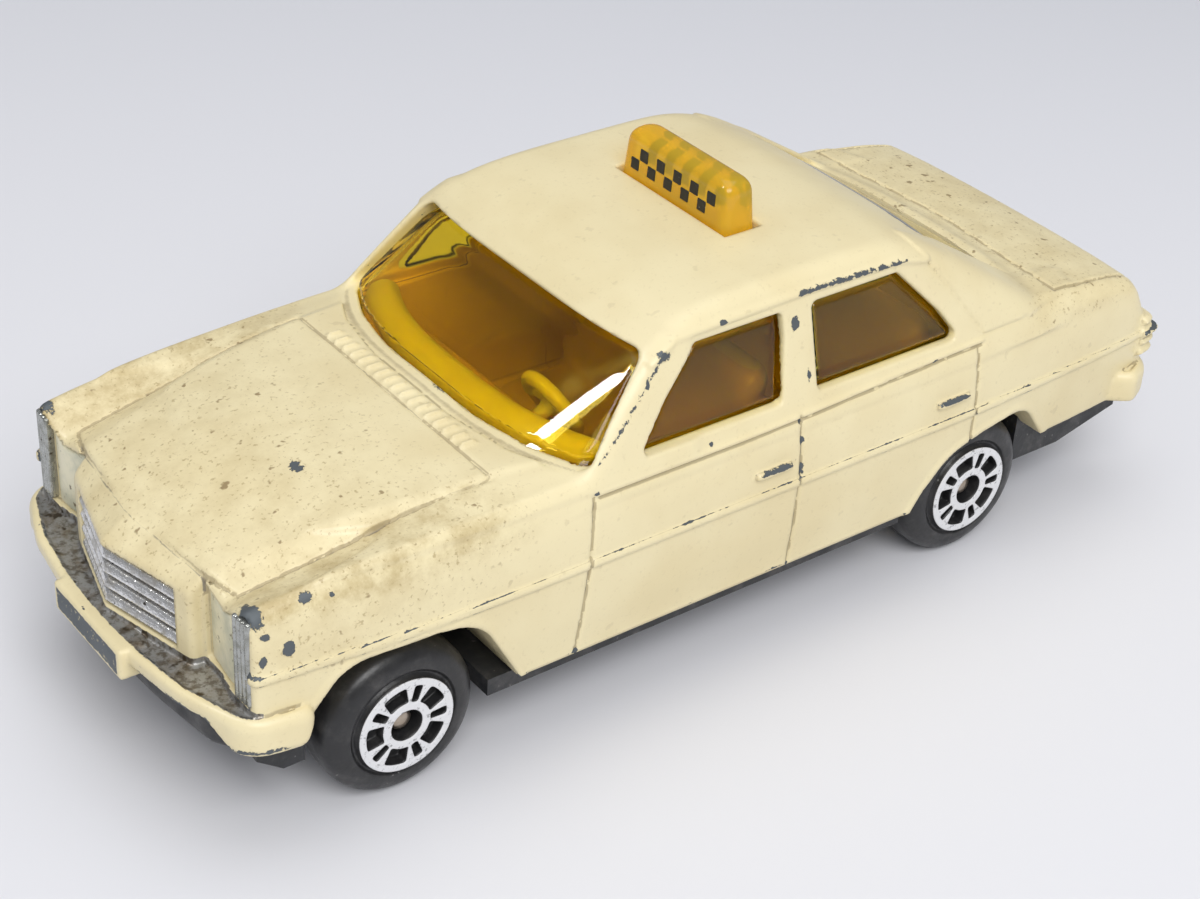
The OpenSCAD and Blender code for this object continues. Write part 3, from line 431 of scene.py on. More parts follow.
def ends(x, across, z):
    """The bumpers, the shelf behind the front one, the grille's block and the plate."""
    front = bumper(x, across, z, FRONT_BUMPER)
    plate = soft_max(box(x, NOSE - 2, NOSE), across - PLATE_HALF, PLATE_SOFT)
    plate = soft_max(plate, box(z, SHELF - PLATE_HEIGHT, SHELF + 0.02), PLATE_SOFT)
    rear = bumper(x, across, z, REAR_BUMPER)
    found = soft_min(soft_min(front, plate, 0.1), rear, 0.1)
    return soft_min(found, grille_block(x, across, z), 0.15)


def lamp_top(across):
    """Height of a lamp's upper edge, which stays under the bonnet and the wing."""
    return np.minimum(LAMP_HIGH, deck(np.array(FACE - 0.6), across) - 0.25)


def lamp_pockets(x, across, z):
    room = soft_max(box(across, GRILLE_HALF + 0.2, LAMP_OUT), box(z, LAMP_LOW, lamp_top(across)), 0.3)
    return np.maximum(room, curve(FRONT_PLAN, across) - 0.45 - x)


TAIL_LAMP_IN, TAIL_LAMP_LOW, TAIL_LAMP_HIGH, TAIL_RIB_PITCH = 8.6, SHELF + 0.6, SHELF + 3.9, 0.82


def tail_lamps(x, across, z):
    """How far the ribs of the tail lamps stand out."""
    room = ramp(across, TAIL_LAMP_IN, TAIL_LAMP_IN + 0.2) * ramp(-x, -REAR - 1.8, -REAR - 1.5)
    room = room * ramp(z, TAIL_LAMP_LOW, TAIL_LAMP_LOW + 0.2)
    room = room * (1 - ramp(z, TAIL_LAMP_HIGH - 0.2, TAIL_LAMP_HIGH))
    ribs = 0.5 - 0.5 * np.cos(2 * math.pi * (z - TAIL_LAMP_LOW) / TAIL_RIB_PITCH)
    return room * (0.2 + 0.3 * ribs)


def outer(x, across, z):
    """The body's outside, with its relief but without its openings."""
    body = soft_min(lower_body(x, across, z), cabin(x, across, z), 0.35)
    relief = raised(x, across, z) + roof_lines(x, across, z) + tail_lamps(x, across, z)
    return body - relief + panel_lines(x, across, z)


SLOT_DEPTH, SLOT_LENGTH, SIGN_X = 2.95, 11.3, RAIL_FRONT - 13.05
CAVITY_FRONT, CAVITY_REAR, CAVITY_LOW, CAVITY_HALF = 12.6, -24.0, SILL + 1.2, 12.4


def body(x, y, z):
    """The body casting."""
    across = np.abs(y)
    skin = outer(x, across, z)
    found = soft_min(np.maximum(skin, -lamp_pockets(x, across, z)), ends(x, across, z), 0.12)
    room = np.maximum(cabin(x, across, z) + CABIN_WALL, BELT - 1 - z)
    well = largest((box(x, CAVITY_REAR, CAVITY_FRONT), across - CAVITY_HALF, box(z, CAVITY_LOW, BELT)))
    found = np.maximum(found, -np.minimum(room, well))
    front_opening = np.maximum(windscreen(x, across, z), cabin(x, across, z) - 0.12)
    slot = largest((np.abs(x - SIGN_X) - SLOT_DEPTH / 2, across - SLOT_LENGTH / 2, ROOF - 3 - z))
    cuts = smallest((side_window(x, z), front_opening, rear_screen(x, across, z), slot))
    found = soft_max(found, -cuts, 0.18)
    bottom = np.where(x > FRONT_AXLE, SILL + 1.5, np.where(x < REAR_AXLE, SILL + 1.9, SILL))
    return soft_max(found, -np.minimum(arches(x, z), z - bottom), 0.15)


# Surfaces


OTHER_AXES = ([1, 2], [0, 2], [0, 1])


def grid_surface(values, origin, cell):
    """Points and faces on the zero surface of a grid of field values."""
    inside = values < 0
    room = [n - 1 for n in values.shape]
    count = sum(inside[i:room[0] + i, j:room[1] + j, k:room[2] + k].astype(np.int8)
                for i in (0, 1) for j in (0, 1) for k in (0, 1))
    active = (count > 0) & (count < 8)
    cells = np.argwhere(active)
    number = np.full(active.shape, -1, np.int32)
    number[active] = np.arange(len(cells))
    total, hits = np.zeros((len(cells), 3)), np.zeros(len(cells))
    for axis, others in enumerate(OTHER_AXES):
        for corner in ((0, 0), (0, 1), (1, 0), (1, 1)):
            start = np.zeros(3, int)
            start[others] = corner
            end = start + np.eye(3, dtype=int)[axis]
            at_start = values[tuple((cells + start).T)]
            at_end = values[tuple((cells + end).T)]
            crossed = (at_start < 0) != (at_end < 0)
            share = np.where(crossed, at_start / np.where(crossed, at_start - at_end, 1), 0)
            total += np.where(crossed[:, None], start + share[:, None] * (end - start), 0)
            hits += crossed
    points = np.array(origin) + cell * (cells + total / hits[:, None])
    faces = []
    for axis, others in enumerate(OTHER_AXES):
        ahead, behind = [slice(None)] * 3, [slice(None)] * 3
        ahead[axis], behind[axis] = slice(1, None), slice(None, -1)
        edges = np.argwhere(inside[tuple(ahead)] != inside[tuple(behind)])
        edges = edges[(edges[:, others] > 0).all(axis=1) & (edges < active.shape).all(axis=1)]
        corners = []
        for shift in ((-1, -1), (0, -1), (0, 0), (-1, 0)):
            move = np.zeros(3, int)
            move[others] = shift
            corners.append(number[tuple((edges + move).T)])
        quads = np.array(corners).T
        flip = inside[tuple(edges.T)] == (axis == 1)
        quads[flip] = quads[flip][:, ::-1]
        faces.append(quads)
    return points, np.concatenate(faces)


def slope_at(field, points, step=0.02):
    """The field's gradient at points."""
    pairs = [field(*(points + move).T) - field(*(points - move).T) for move in step * np.eye(3)]
    return np.stack(pairs, 1) / (2 * step)


def surface(field, low, high, cell, mirrored=False):
    """Points and faces of a field's surface. A mirrored field is the same on both sides of the car."""
    axes = [np.arange(a, b + cell, cell) for a, b in zip(low, high)]
    if mirrored:
        axes[1] = np.arange(-cell / 2, high[1] + cell, cell)
    parts = np.array_split(axes[0], max(1, len(axes[0]) // 40))
    values = np.concatenate([field(part[:, None, None], axes[1][None, :, None], axes[2][None, None, :])
                             .astype(np.float32) for part in parts])
    points, faces = grid_surface(values, [axis[0] for axis in axes], cell)
    middle = np.abs(points[:, 1]) < cell / 4 if mirrored else np.zeros(len(points), bool)
    points[middle, 1] = 0
    for _ in range(2):
        slope = slope_at(field, points)
        move = field(*points.T)[:, None] * slope / np.maximum((slope**2).sum(1), 0.3)[:, None]
        points -= np.clip(move, -cell / 2, cell / 2)
        points[middle, 1] = 0
    if not mirrored:
        return points, faces
    other = np.arange(len(points))
    other[~middle] = len(points) + np.arange((~middle).sum())
    both = np.concatenate([points, points[~middle] * (1, -1, 1)])
    return both, np.concatenate([faces, other[faces][:, ::-1]])


def show(name, data):
    """Puts a mesh, a light or a camera into the scene."""
    made = bpy.data.objects.new(name, data)
    bpy.context.scene.collection.objects.link(made)
    return made


def piece(name, shape, slot, material, node, rides="chassis"):
    """A mesh object from points in millimetres and faces that rides on a body and stands in for a node."""
    points, faces = shape
    mesh = bpy.data.meshes.new(name)
    corners = faces.tolist() if isinstance(faces, np.ndarray) else faces
    mesh.from_pydata((points * MM).tolist(), [], corners)
    mesh.update()
    mesh.shade_smooth()
    mesh.materials.append(material)
    made = show(name, mesh)
    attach(made, rides)
    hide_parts(node)
    return made


def lathe(profile, segments=40):
    """A closed shape turned round the Y axis from points of radius and place."""
    angles = [2 * math.pi * i / segments for i in range(segments)]
    points = [(r * math.cos(a), place, r * math.sin(a)) for r, place in profile for a in angles]
    last = len(points) - segments
    faces = [(row + i, row + (i + 1) % segments, row + segments + (i + 1) % segments, row + segments + i)
             for row in range(0, last, segments) for i in range(segments)]
    caps = [tuple(range(segments))[::-1], tuple(range(last, len(points)))]
    return np.array(points), faces + caps


# Materials


class Paint:
    """A material, with short ways to add nodes to it."""

    def __init__(self, name, colour, roughness, metallic=0.0):
        self.material = bpy.data.materials.new(name)
        self.material.use_nodes = True
        self.nodes = self.material.node_tree.nodes
        self.shader = self.nodes["Principled BSDF"]
        self.set("Base Color", (*colour, 1))
        self.set("Roughness", roughness)
        self.set("Metallic", metallic)
        self.place = self.node("TexCoord", "Object")

    def set(self, name, value):
        """Puts a value or another node's output into one of the shader's sockets."""
        self.join(value, self.shader.inputs[name])

    def join(self, value, socket):
        if isinstance(value, bpy.types.NodeSocket):
            self.material.node_tree.links.new(value, socket)
        else:
            socket.default_value = value

    def node(self, kind, output, inputs=(), **settings):
        """An output of a new node that has settings, and values or other outputs in its inputs."""
        made = self.nodes.new("ShaderNode" + kind)
        for name, value in settings.items():
            setattr(made, name, value)
        for name, value in dict(inputs).items():
            self.join(value, made.inputs[name])
        return made.outputs[output]

    def noise(self, size, detail=3.0, roughness=0.6, stretch=(1, 1, 1)):
        """A noise from 0 to 1 with features of a size in millimetres."""
        place = self.node("Mapping", "Vector", {"Vector": self.place, "Scale": stretch})
        inputs = {"Vector": place, "Scale": 1 / (size * MM), "Detail": detail, "Roughness": roughness}
        return self.node("TexNoise", "Fac", inputs)

    def mask(self, name):
        return self.node("Attribute", "Fac", attribute_name=name)

    def calculate(self, operation, a, b):
        return self.node("Math", "Value", {0: a, 1: b}, operation=operation)

    times = functools.partialmethod(calculate, "MULTIPLY")
    plus = functools.partialmethod(calculate, "ADD")
    larger = functools.partialmethod(calculate, "MAXIMUM")

    def broken(self, mask, noise, share, low, high, end=1.0):
        """A step over a mask whose edge a noise breaks up."""
        return self.step(self.plus(mask, self.times(noise, share)), low, high, 0, end)

    def step(self, value, low, high, start=0.0, end=1.0):
        """A smooth step from start to end while the value goes from low to high."""
        inputs = {"Value": value, "From Min": low, "From Max": high, "To Min": start, "To Max": end}
        return self.node("MapRange", "Result", inputs, interpolation_type="SMOOTHSTEP")

    def mix(self, share, a, b):
        """A colour between two colours."""
        a, b = (part if isinstance(part, bpy.types.NodeSocket) else (*part, 1) for part in (a, b))
        return self.node("Mix", "Result", {"Factor": share, "A": a, "B": b}, data_type="RGBA")

    def layers(self, colour, *layers):
        """A colour with layers over it, each of a share and a colour."""
        for share, tint in layers:
            colour = self.mix(share, colour, tint)
        return colour

    def finish(self, colour, height, depth):
        """The material with its colour, roughened by a height whose 1 is a depth in millimetres."""
        inputs = {"Height": height, "Distance": depth * MM, "Strength": 1}
        self.set("Base Color", colour)
        self.set("Normal", self.node("Bump", "Normal", inputs))
        return self.material


CREAM, CREAM_DEEP = (0.80, 0.70, 0.435), (0.745, 0.635, 0.375)
METAL, SILVER, TARNISH = (0.115, 0.13, 0.14), (0.36, 0.36, 0.35), (0.21, 0.17, 0.12)
# The first colour darkens the tops of the bonnet, wings and boot in blotches; the others are freckles and
# specks
TOP_BLOTCH, FRECKLE, SPECK = (0.45, 0.34, 0.15), (0.34, 0.24, 0.10), (0.20, 0.125, 0.045)
# The first colour is grime and painted shade for the hollows, the second the dirt in the panel lines
GRIME_AND_SHADE, GROOVE_DIRT = (0.30, 0.235, 0.13), (0.18, 0.16, 0.13)
SOOT, GRIT = (0.06, 0.045, 0.03), (0.085, 0.062, 0.035)


def enamel_paint():
    """Cream enamel with dirt in its grooves, grime and painted shade in its hollows, darker blotches on its
    tops, chips on its edges, brown specks and silver trim.
    """
    paint = Paint("enamel", CREAM, 0.34)
    paint.set("Specular IOR Level", 0.45)
    noise, step, mask = paint.noise, paint.step, paint.mask
    times, broken = paint.times, paint.broken
    fine, speck, front = noise(0.55, 4, 0.7), noise(0.9, 2, 0.5), mask("front")
    # Darker brown blotches over the tops, strongest on the wings
    top_blotches = times(front, step(noise(2.2, 5, 0.7), 0.3, 0.75))
    freckles = step(noise(0.28, 3, 0.6), 0.58, 0.7)
    specks = times(step(speck, 0.68, 0.74), step(front, 0.05, 0.8, 0.12, 0.75))
    # Grime and painted shade: the enamel darkens in the hollows, broken up by noise
    grime_and_shade = broken(mask("grime_and_shade"), fine, 0.3, 0.62, 0.95)
    line = times(mask("line"), 0.85)
    trim = broken(mask("trim"), fine, 0.5, 0.68, 0.78)
    worn = paint.plus(times(mask("wear"), 0.62), times(fine, 0.6))
    worn = broken(worn, noise(2.6, 3), 0.8, 1.02, 1.07)
    chip = broken(times(mask("chip"), 0.8), noise(0.5, 5, 0.72), 0.9, 0.86, 0.9)
    chip = paint.larger(worn, chip)
    tarnish = paint.layers(
        SILVER,
        (step(noise(1.4, 5, 0.75), 0.4, 0.72), TARNISH),
        (step(speck, 0.6, 0.68), SOOT),
        (step(fine, 0.46, 0.62, 0, 0.7), GRIT),
    )
    colour = paint.layers(
        CREAM,
        (step(noise(9, 3), 0.35, 0.7), CREAM_DEEP),
        (times(top_blotches, 0.32), TOP_BLOTCH),
        (times(freckles, step(front, 0.05, 0.8, 0.1, 0.55)), FRECKLE),
        (specks, SPECK),
        # grime and painted shade in the hollows
        (times(grime_and_shade, 0.62), GRIME_AND_SHADE),
        (broken(line, noise(2.2, 3), 0.8, 1.0, 1.36, 0.85), GROOVE_DIRT),
        (trim, tarnish),
        (chip, METAL),
    )
    paint.set("Metallic", paint.larger(times(chip, 0.4), times(trim, 0.55)))
    rough = step(noise(4, 4), 0.3, 0.7, 0.3, 0.42)
    paint.set("Roughness", paint.plus(rough, times(paint.larger(chip, grime_and_shade), 0.2)))
    skin = paint.calculate("SUBTRACT", times(noise(0.5, 2), 0.1), chip)
    return paint.finish(colour, paint.plus(skin, times(specks, 0.3)), 0.045)


def silver_paint(name, bright, dull):
    """Silver trim paint, bright in places and dirty in others."""
    paint = Paint(name, SILVER, 0.34, 0.75)
    blotch = paint.step(paint.noise(1.1, 5, 0.7), 0.4, 0.7)
    dirt = paint.step(paint.noise(0.5, 3), 0.64, 0.72)
    paint.set("Roughness", paint.step(blotch, 0, 1, 0.2, 0.42))
    colour = paint.layers(bright, (blotch, dull), (dirt, (0.10, 0.085, 0.07)))
    return paint.finish(colour, paint.noise(0.35, 3), 0.05)


def lens_paint():
    """The headlamps' painted lenses, cream that has gone green and grey in patches."""
    paint = Paint("lens_paint", (0.62, 0.58, 0.40), 0.3)
    green, dirt = paint.step(paint.noise(2.4, 4), 0.38, 0.68), paint.step(paint.noise(0.7, 3), 0.62, 0.7)
    colour = paint.layers((0.80, 0.75, 0.54), (green, (0.54, 0.54, 0.40)), (dirt, (0.2, 0.16, 0.09)))
    return paint.finish(colour, paint.noise(0.6, 2), 0.03)


AMBER = (0.90, 0.75, 0.13)
# Share of a lamp's light that the amber lets through besides what its tint takes
LAMP_SHARE = 0.9


def amber_glass(name, tint, clearness):
    """Amber plastic that lets the lamps' light through."""
    paint = Paint(name, tint, 0.035)
    paint.set("Transmission Weight", clearness)
    paint.set("IOR", 1.4)
    paint.set("Roughness", paint.step(paint.noise(3, 3), 0.45, 0.75, 0.02, 0.07))
    shadow_tint = (*(LAMP_SHARE * math.sqrt(part) for part in tint), 1)
    mixed = paint.node("MixShader", "Shader", {
        "Fac": paint.node("LightPath", "Is Shadow Ray"),
        1: paint.shader.outputs["BSDF"],
        2: paint.node("BsdfTransparent", "BSDF", {"Color": shadow_tint}),
    })
    paint.join(mixed, paint.nodes["Material Output"].inputs["Surface"])
    return paint.material


def yellow_plastic():
    paint = Paint("yellow_plastic", (0.46, 0.385, 0.012), 0.4)
    paint.set("Subsurface Weight", 0.1)
    paint.set("Subsurface Scale", 0.001)
    colour = paint.mix(paint.noise(5, 3), (0.52, 0.44, 0.012), (0.43, 0.355, 0.01))
    return paint.finish(colour, paint.noise(0.6, 3), 0.02)


def black_paint(name, colour, roughness, dust):
    """A black finish that has dust and small rubs on it."""
    paint = Paint(name, colour, roughness)
    dusty = paint.step(paint.noise(1.8, 5, 0.7), 0.45, 0.8, 0, dust)
    rubs = paint.step(paint.noise(0.45, 2), 0.72, 0.76, 0, 0.5)
    paint.set("Roughness", paint.step(paint.noise(1.2, 4), 0.3, 0.7, roughness - 0.08, roughness + 0.12))
    layers = paint.layers(colour, (dusty, (0.20, 0.19, 0.18)), (rubs, (0.3, 0.29, 0.28)))
    return paint.finish(layers, paint.noise(0.4, 3), 0.02)


def foil_paint():
    """White stamped foil, thin in places so that the black shows through."""
    paint = Paint("white_foil", (0.70, 0.70, 0.71), 0.38)
    gaps = paint.step(paint.noise(0.3, 4, 0.7), 0.56, 0.68, 0, 0.7)
    colour = paint.mix(gaps, (0.72, 0.72, 0.73), (0.13, 0.13, 0.135))
    return paint.finish(colour, paint.noise(0.3, 3), 0.02)


def wire_steel():
    paint = Paint("axle_wire", (0.52, 0.45, 0.37), 0.32, 0.9)
    colour = paint.mix(paint.noise(0.7, 4), (0.60, 0.53, 0.45), (0.34, 0.27, 0.20))
    return paint.finish(colour, paint.noise(0.4, 3, stretch=(1, 0.05, 1)), 0.02)


enamel, lens = enamel_paint(), lens_paint()
silver = silver_paint("silver_trim", (0.80, 0.80, 0.80), (0.46, 0.44, 0.40))
rib_silver = silver_paint("rib_trim", (0.44, 0.45, 0.43), (0.25, 0.25, 0.22))
amber = amber_glass("amber_glass", AMBER, 1.0)
sign_amber = amber_glass("sign_amber", (0.88, 0.58, 0.04), 0.5)
yellow = yellow_plastic()
base_black = black_paint("base_black", (0.022, 0.023, 0.025), 0.42, 0.35)
tyre_black = black_paint("tyre_black", (0.018, 0.018, 0.019), 0.36, 0.22)
print_black = black_paint("print_black", (0.014, 0.013, 0.01), 0.5, 0.05)
foil_white, wire = foil_paint(), wire_steel()


# Body

# Chips: place, and half size along and up, in millimetres
CHIPS = [
    (26.3, 3.7, 17.8, 0.5, 0.4), (34.3, 12.4, 16.1, 0.6, 0.7), (31.3, 13.3, 16.6, 0.5, 0.3),
    (29.8, 13.7, 16.4, 0.25, 0.2), (32.7, 13.6, 14.0, 0.35, 0.55), (34.0, 13.4, 15.1, 0.3, 0.25),
    (34.2, 13.4, 13.6, 0.25, 0.4), (34.6, 13.2, 12.6, 0.18, 0.2), (6.6, 12.3, 23.5, 0.5, 0.35),
    (7.9, 12.7, 22.2, 0.15, 0.4), (-3.6, 12.3, 22.6, 0.3, 0.5), (-4.4, 13.0, 19.2, 0.16, 0.6),
    (-14.9, 13.6, 17.2, 0.25, 0.18), (3.6, 13.7, 17.2, 0.18, 0.15), (-1.1, 14.7, HANDLE_Z + 0.12, 1.5, 0.17),
    (-16.4, 14.6, HANDLE_Z + 0.12, 1.4, 0.16), (12.3, 13.9, 16.9, 0.2, 0.15),
    (NOSE - 1.3, 9.2, BAR_LOW + 0.1, 0.6, 0.18), (NOSE - 2.0, 10.6, BAR_LOW + 0.05, 0.5, 0.2),
    (34.3, -12.4, 16.1, 0.4, 0.6), (24.5, -12.9, 17.2, 0.5, 0.2), (22.5, -13.1, 17.3, 0.4, 0.2),
    (-10.0, -13.6, 17.3, 0.3, 0.2), (-3.5, 14.3, 15.2, 0.15, 0.4), (-3.5, 14.4, 13.2, 0.2, 0.5),
    (-3.4, 14.0, 16.6, 0.2, 0.2), (6.0, -14.3, 14.4, 0.5, 0.3), (2.0, 12.0, 24.3, 0.3, 0.2),
    (-6.0, -12.1, 24.3, 0.9, 0.2), (-21.0, -14.1, 13.4, 0.4, 0.5), (15.0, -13.9, 15.9, 0.3, 0.2),
]
# Worn lines over the side windows and down the front pillars, along the car and up
WORN_RAIL = [(-4.0, 24.42), (-6.4, 24.42), (-9.3, 24.38), (-12.8, 24.25)]
WORN_PILLAR = [(6.6, 23.5), (7.9, 22.2), (9.7, 20.4), (12.0, 18.3)]


def chip_mask(points):
    """How chipped the enamel is: in single chips, along the rails and pillars, and on the front bumper."""
    found = np.zeros(len(points))
    for *place, along, up in CHIPS:
        far = np.linalg.norm((points - place) / (along, max(along, up) + 0.3, up), axis=1)
        found = np.maximum(found, 1 - far / 2)
    x, y, z = points.T
    strips = np.maximum(0.75 - path(x, z, WORN_RAIL) / 0.6, 0.58 - path(x, z, WORN_PILLAR) / 0.8)
    strips = np.where(y > 9, strips, np.where(y < -9, strips - 0.12, 0))
    front = ramp(x, NOSE - 6, NOSE - 5)
    corner = front * ramp(np.abs(y), 10.8, 11.6)
    bar = front * ramp(np.abs(y), 4.3, 4.6) * (1 - corner)
    corner_edge = corner * (0.7 - np.abs(z - BUMPER_LOW - 0.55) / 0.8)
    bar_edge = bar * (0.6 - np.abs(z - BAR_LOW - 0.2) / 0.7)
    return largest((found, strips, corner_edge, bar_edge))


# How far from the surface the enamel looks for edges and hollows
MASK_REACH = 0.32


def body_masks(points, slopes):
    """What the enamel needs to know at each point: edges, hollows for grime and painted shade, grooves,
    chips, trim and dirt.
    """
    steep = np.linalg.norm(slopes, axis=1)
    step = MASK_REACH * slopes / steep[:, None]
    x, y, z = points.T
    across = np.abs(y)
    edges = np.clip(1 + body(*(points - step).T) / (MASK_REACH * steep), 0, 1)
    # How hollow the surface is, probed along its normal like ambient occlusion; the enamel darkens there as
    # grime and painted shade
    hollows = np.clip(1 - body(*(points + step).T) / (MASK_REACH * steep), 0, 1)
    bands = np.maximum(1 - ramp(np.abs(z - CREASE), 0.4, 0.6), 1 - ramp(z, SILL + 0.3, SILL + 0.6))
    over_shelf = 1 - ramp(z, SHELF + 0.1, SHELF + 0.3)
    lip = 1.1 * ramp(x, FACE - 1.5, FACE - 0.5) * over_shelf
    plate = ramp(x, NOSE - 0.5, NOSE - 0.3) * (1 - ramp(across, PLATE_HALF - 0.45, PLATE_HALF - 0.25))
    plate = plate * (1 - ramp(np.abs(z - SHELF + 1.0), 0.7, 0.85))
    shelf = ramp(z, SHELF - 0.45, SHELF - 0.3) * over_shelf * ramp(x, FACE - 1.5, FACE - 1)
    rim = ramp(bumper_outline(x, across, FRONT_BUMPER), -0.75, -0.35)
    pocket = (1 - ramp(lamp_pockets(x, across, z), 0.0, 0.1)) * ramp(x, FACE - 2, FACE - 1.4)
    opening = np.maximum(across - OPENING_HALF, box(z, OPENING_LOW, OPENING_HIGH))
    slatted = (1 - ramp(opening, 0, 0.1)) * ramp(x, FACE - 1, FACE - 0.8)
    slatted = slatted * (1 - ramp(x - grille_front(across), -0.5, -0.3))
    bonnet = ramp(x, 12, 30) * ramp(z, SHELF, SHOULDER - 2)
    wings = ramp(x, 15, 21) * ramp(across, 9.6, 10.6) * ramp(z, SHOULDER - 1.5, SHOULDER - 0.3)
    boot = ramp(-x, 22, 27) * ramp(z, SHOULDER - 1, SHOULDER)
    return {
        "wear": edges * largest((0.25, bands * ramp(across, 12, 12.6), lip)),
        "grime_and_shade": hollows,
        "line": panel_lines(x, across, z) / LINE_DEPTH,
        "chip": np.maximum(chip_mask(points), 0.68 * plate),
        "trim": largest((shelf * (1 - 0.7 * rim), slatted, 0.35 * pocket)),
        # The tops of the bonnet, wings and boot, weighted most on the wings, where the enamel gets darker
        # blotches, freckles and specks
        "front": np.clip(bonnet + 1.8 * wings + 0.9 * boot, 0, 2.6),
    }


MARGIN = 0.6
points, faces = surface(body, (TAIL - MARGIN, 0, SILL - MARGIN), (NOSE + MARGIN, HALF + 1, ROOF + MARGIN),
                        BODY_CELL, mirrored=True)
body_shell = piece("body_shell", (points, faces), "enamel", enamel, "body_casting")
for name, values in body_masks(points, slope_at(body, points)).items():
    mask = body_shell.data.attributes.new(name, "FLOAT", "POINT")
    mask.data.foreach_set("value", np.ascontiguousarray(values, np.float32))


# Grille and headlamps

SLAT_COUNT, SLAT_SHARE = 4, 0.52


def slats(x, y, z):
    across = np.abs(y)
    pitch = (OPENING_HIGH - OPENING_LOW) / SLAT_COUNT
    phase = (z - OPENING_LOW) / pitch
    middle = OPENING_LOW + (np.clip(np.floor(phase), 0, SLAT_COUNT - 1) + 0.5) * pitch
    lip = grille_front(across) - 0.12 - 0.5 * (z - middle)
    bar = soft_max(np.abs(z - middle) - SLAT_SHARE * pitch / 2, x - lip, 0.18)
    return soft_max(np.maximum(bar, grille_front(across) - 0.95 - x), across - OPENING_HALF - 0.05, 0.1)


RIB_COUNT, RIB_PITCH, RIB_RADIUS = 4, 0.37, 0.22


def lamp_lens(x, y, z):
    middle = (LAMP_IN + LAMP_OUT - RIB_COUNT * RIB_PITCH) / 2
    face = x - (curve(FRONT_PLAN, y) - 0.3 + 0.18 * (1 - ((y - middle) / 1.6) ** 2))
    sides = box(y, LAMP_IN + 0.2, LAMP_OUT - 0.15 - RIB_COUNT * RIB_PITCH)
    limits = np.maximum(box(z, LAMP_LOW + 0.1, lamp_top(y) - 0.1), FACE - 1.8 - x)
    return soft_max(soft_max(face, sides, 0.3), limits, 0.3)


def lamp_ribs(x, y, z):
    outer_rib = LAMP_OUT + 0.12
    places = [outer_rib - (i + 0.5) * RIB_PITCH for i in range(RIB_COUNT)]
    found = smallest(np.hypot(x - curve(FRONT_PLAN, np.array(place)) + 0.12, y - place) - RIB_RADIUS
                     for place in places)
    back = np.maximum(box(y, outer_rib - RIB_COUNT * RIB_PITCH, outer_rib), box(x, FACE - 2, FACE - 0.85))
    return soft_max(soft_min(found, back, 0.1), box(z, LAMP_LOW + 0.1, LAMP_HIGH - 0.15), 0.15)


def mirror(points, faces):
    return points * (1, -1, 1), faces[:, ::-1]


FINE_CELL = 0.09
LAMP_ROOM = ((FACE - 2, LAMP_IN - 0.4, LAMP_LOW - 0.4), (FACE + 0.4, LAMP_OUT + 0.4, LAMP_HIGH + 0.4))
shape = surface(slats, (FACE - 1, 0, OPENING_LOW - 0.3), (NOSE, GRILLE_HALF, OPENING_HIGH + 0.3), FINE_CELL,
                mirrored=True)
piece("grille_slats", shape, "enamel", silver, "body_casting")
for field, name, finish in ((lamp_lens, "headlamp_lens", lens), (lamp_ribs, "headlamp_ribs", rib_silver)):
    shape = surface(field, *LAMP_ROOM, FINE_CELL)
    piece(name + "_left", shape, "enamel", finish, "body_casting")
    piece(name + "_right", mirror(*shape), "enamel", finish, "body_casting")


# Glazing with its roof sign

GLASS_GAP, GLASS_WALL, PANE_BULGE, PANE_EDGE = 0.1, 0.45, 0.5, 0.14


def openings(x, across, z):
    return smallest((side_window(x, z), windscreen(x, across, z), rear_screen(x, across, z)))


def glass(x, y, z):
    across = np.abs(y)
    under = cabin(x, across, z) + CABIN_WALL + GLASS_GAP
    pane = 1 - ramp(openings(x, across, z), -0.5, -PANE_EDGE)
    shell = np.maximum(under - PANE_BULGE * pane, -(under + GLASS_WALL))
    return np.maximum(shell, BELT - 0.7 - z)


SIGN_HALF_DEPTH, SIGN_HALF_LENGTH = 1.35, 5.4
SIGN_FOOT = ROOF - 1.3


def sign(x, y, z):
    up = (z - ROOF) / (SIGN_TOP - ROOF)
    thick = np.abs(x - SIGN_X) - (SIGN_HALF_DEPTH - 0.15 * up)
    wide = np.abs(y) - (SIGN_HALF_LENGTH - 0.3 * up)
    return soft_max(soft_max(thick, wide, 0.9), box(z, SIGN_FOOT, SIGN_TOP), 1.0)


GLASS_CELL, SIGN_CELL, PRINT_CELL = 0.2, 0.12, 0.07
shape = surface(glass, (BELT_REAR - 1, 0, BELT - 1), (BELT_FRONT + 1, HALF, ROOF + 0.5), GLASS_CELL,
                mirrored=True)
piece("glazing_shell", shape, "amber", amber, "glazing")
shape = surface(sign, (SIGN_X - 2, -6, SIGN_FOOT - 0.3), (SIGN_X + 2, 6, SIGN_TOP + 0.3), SIGN_CELL)
piece("roof_sign", shape, "amber", sign_amber, "glazing")


PRINT_SQUARE, PRINT_COLUMNS, PRINT_PROUD = 0.85, 10, 0.05


def sign_print(x, y, z):
    """Two rows of chequers that stand a little proud of the sign's two faces."""
    up = z - (ROOF + SIGN_TOP) / 2 + 0.25
    column, row = y / PRINT_SQUARE, up / PRINT_SQUARE
    edge = PRINT_SQUARE * (0.5 - np.maximum(np.abs(column % 1 - 0.5), np.abs(row % 1 - 0.5)))
    squares = np.where((np.floor(column) + np.floor(row)) % 2 == 0, -edge, edge) + 0.03
    band = np.maximum(np.abs(y) - PRINT_COLUMNS / 2 * PRINT_SQUARE, np.abs(up) - PRINT_SQUARE)
    skin = sign(x, y, z)
    layer = np.maximum(skin - PRINT_PROUD, -skin - 0.1)
    return largest((layer, squares, band, SIGN_HALF_DEPTH * 0.6 - np.abs(x - SIGN_X)))


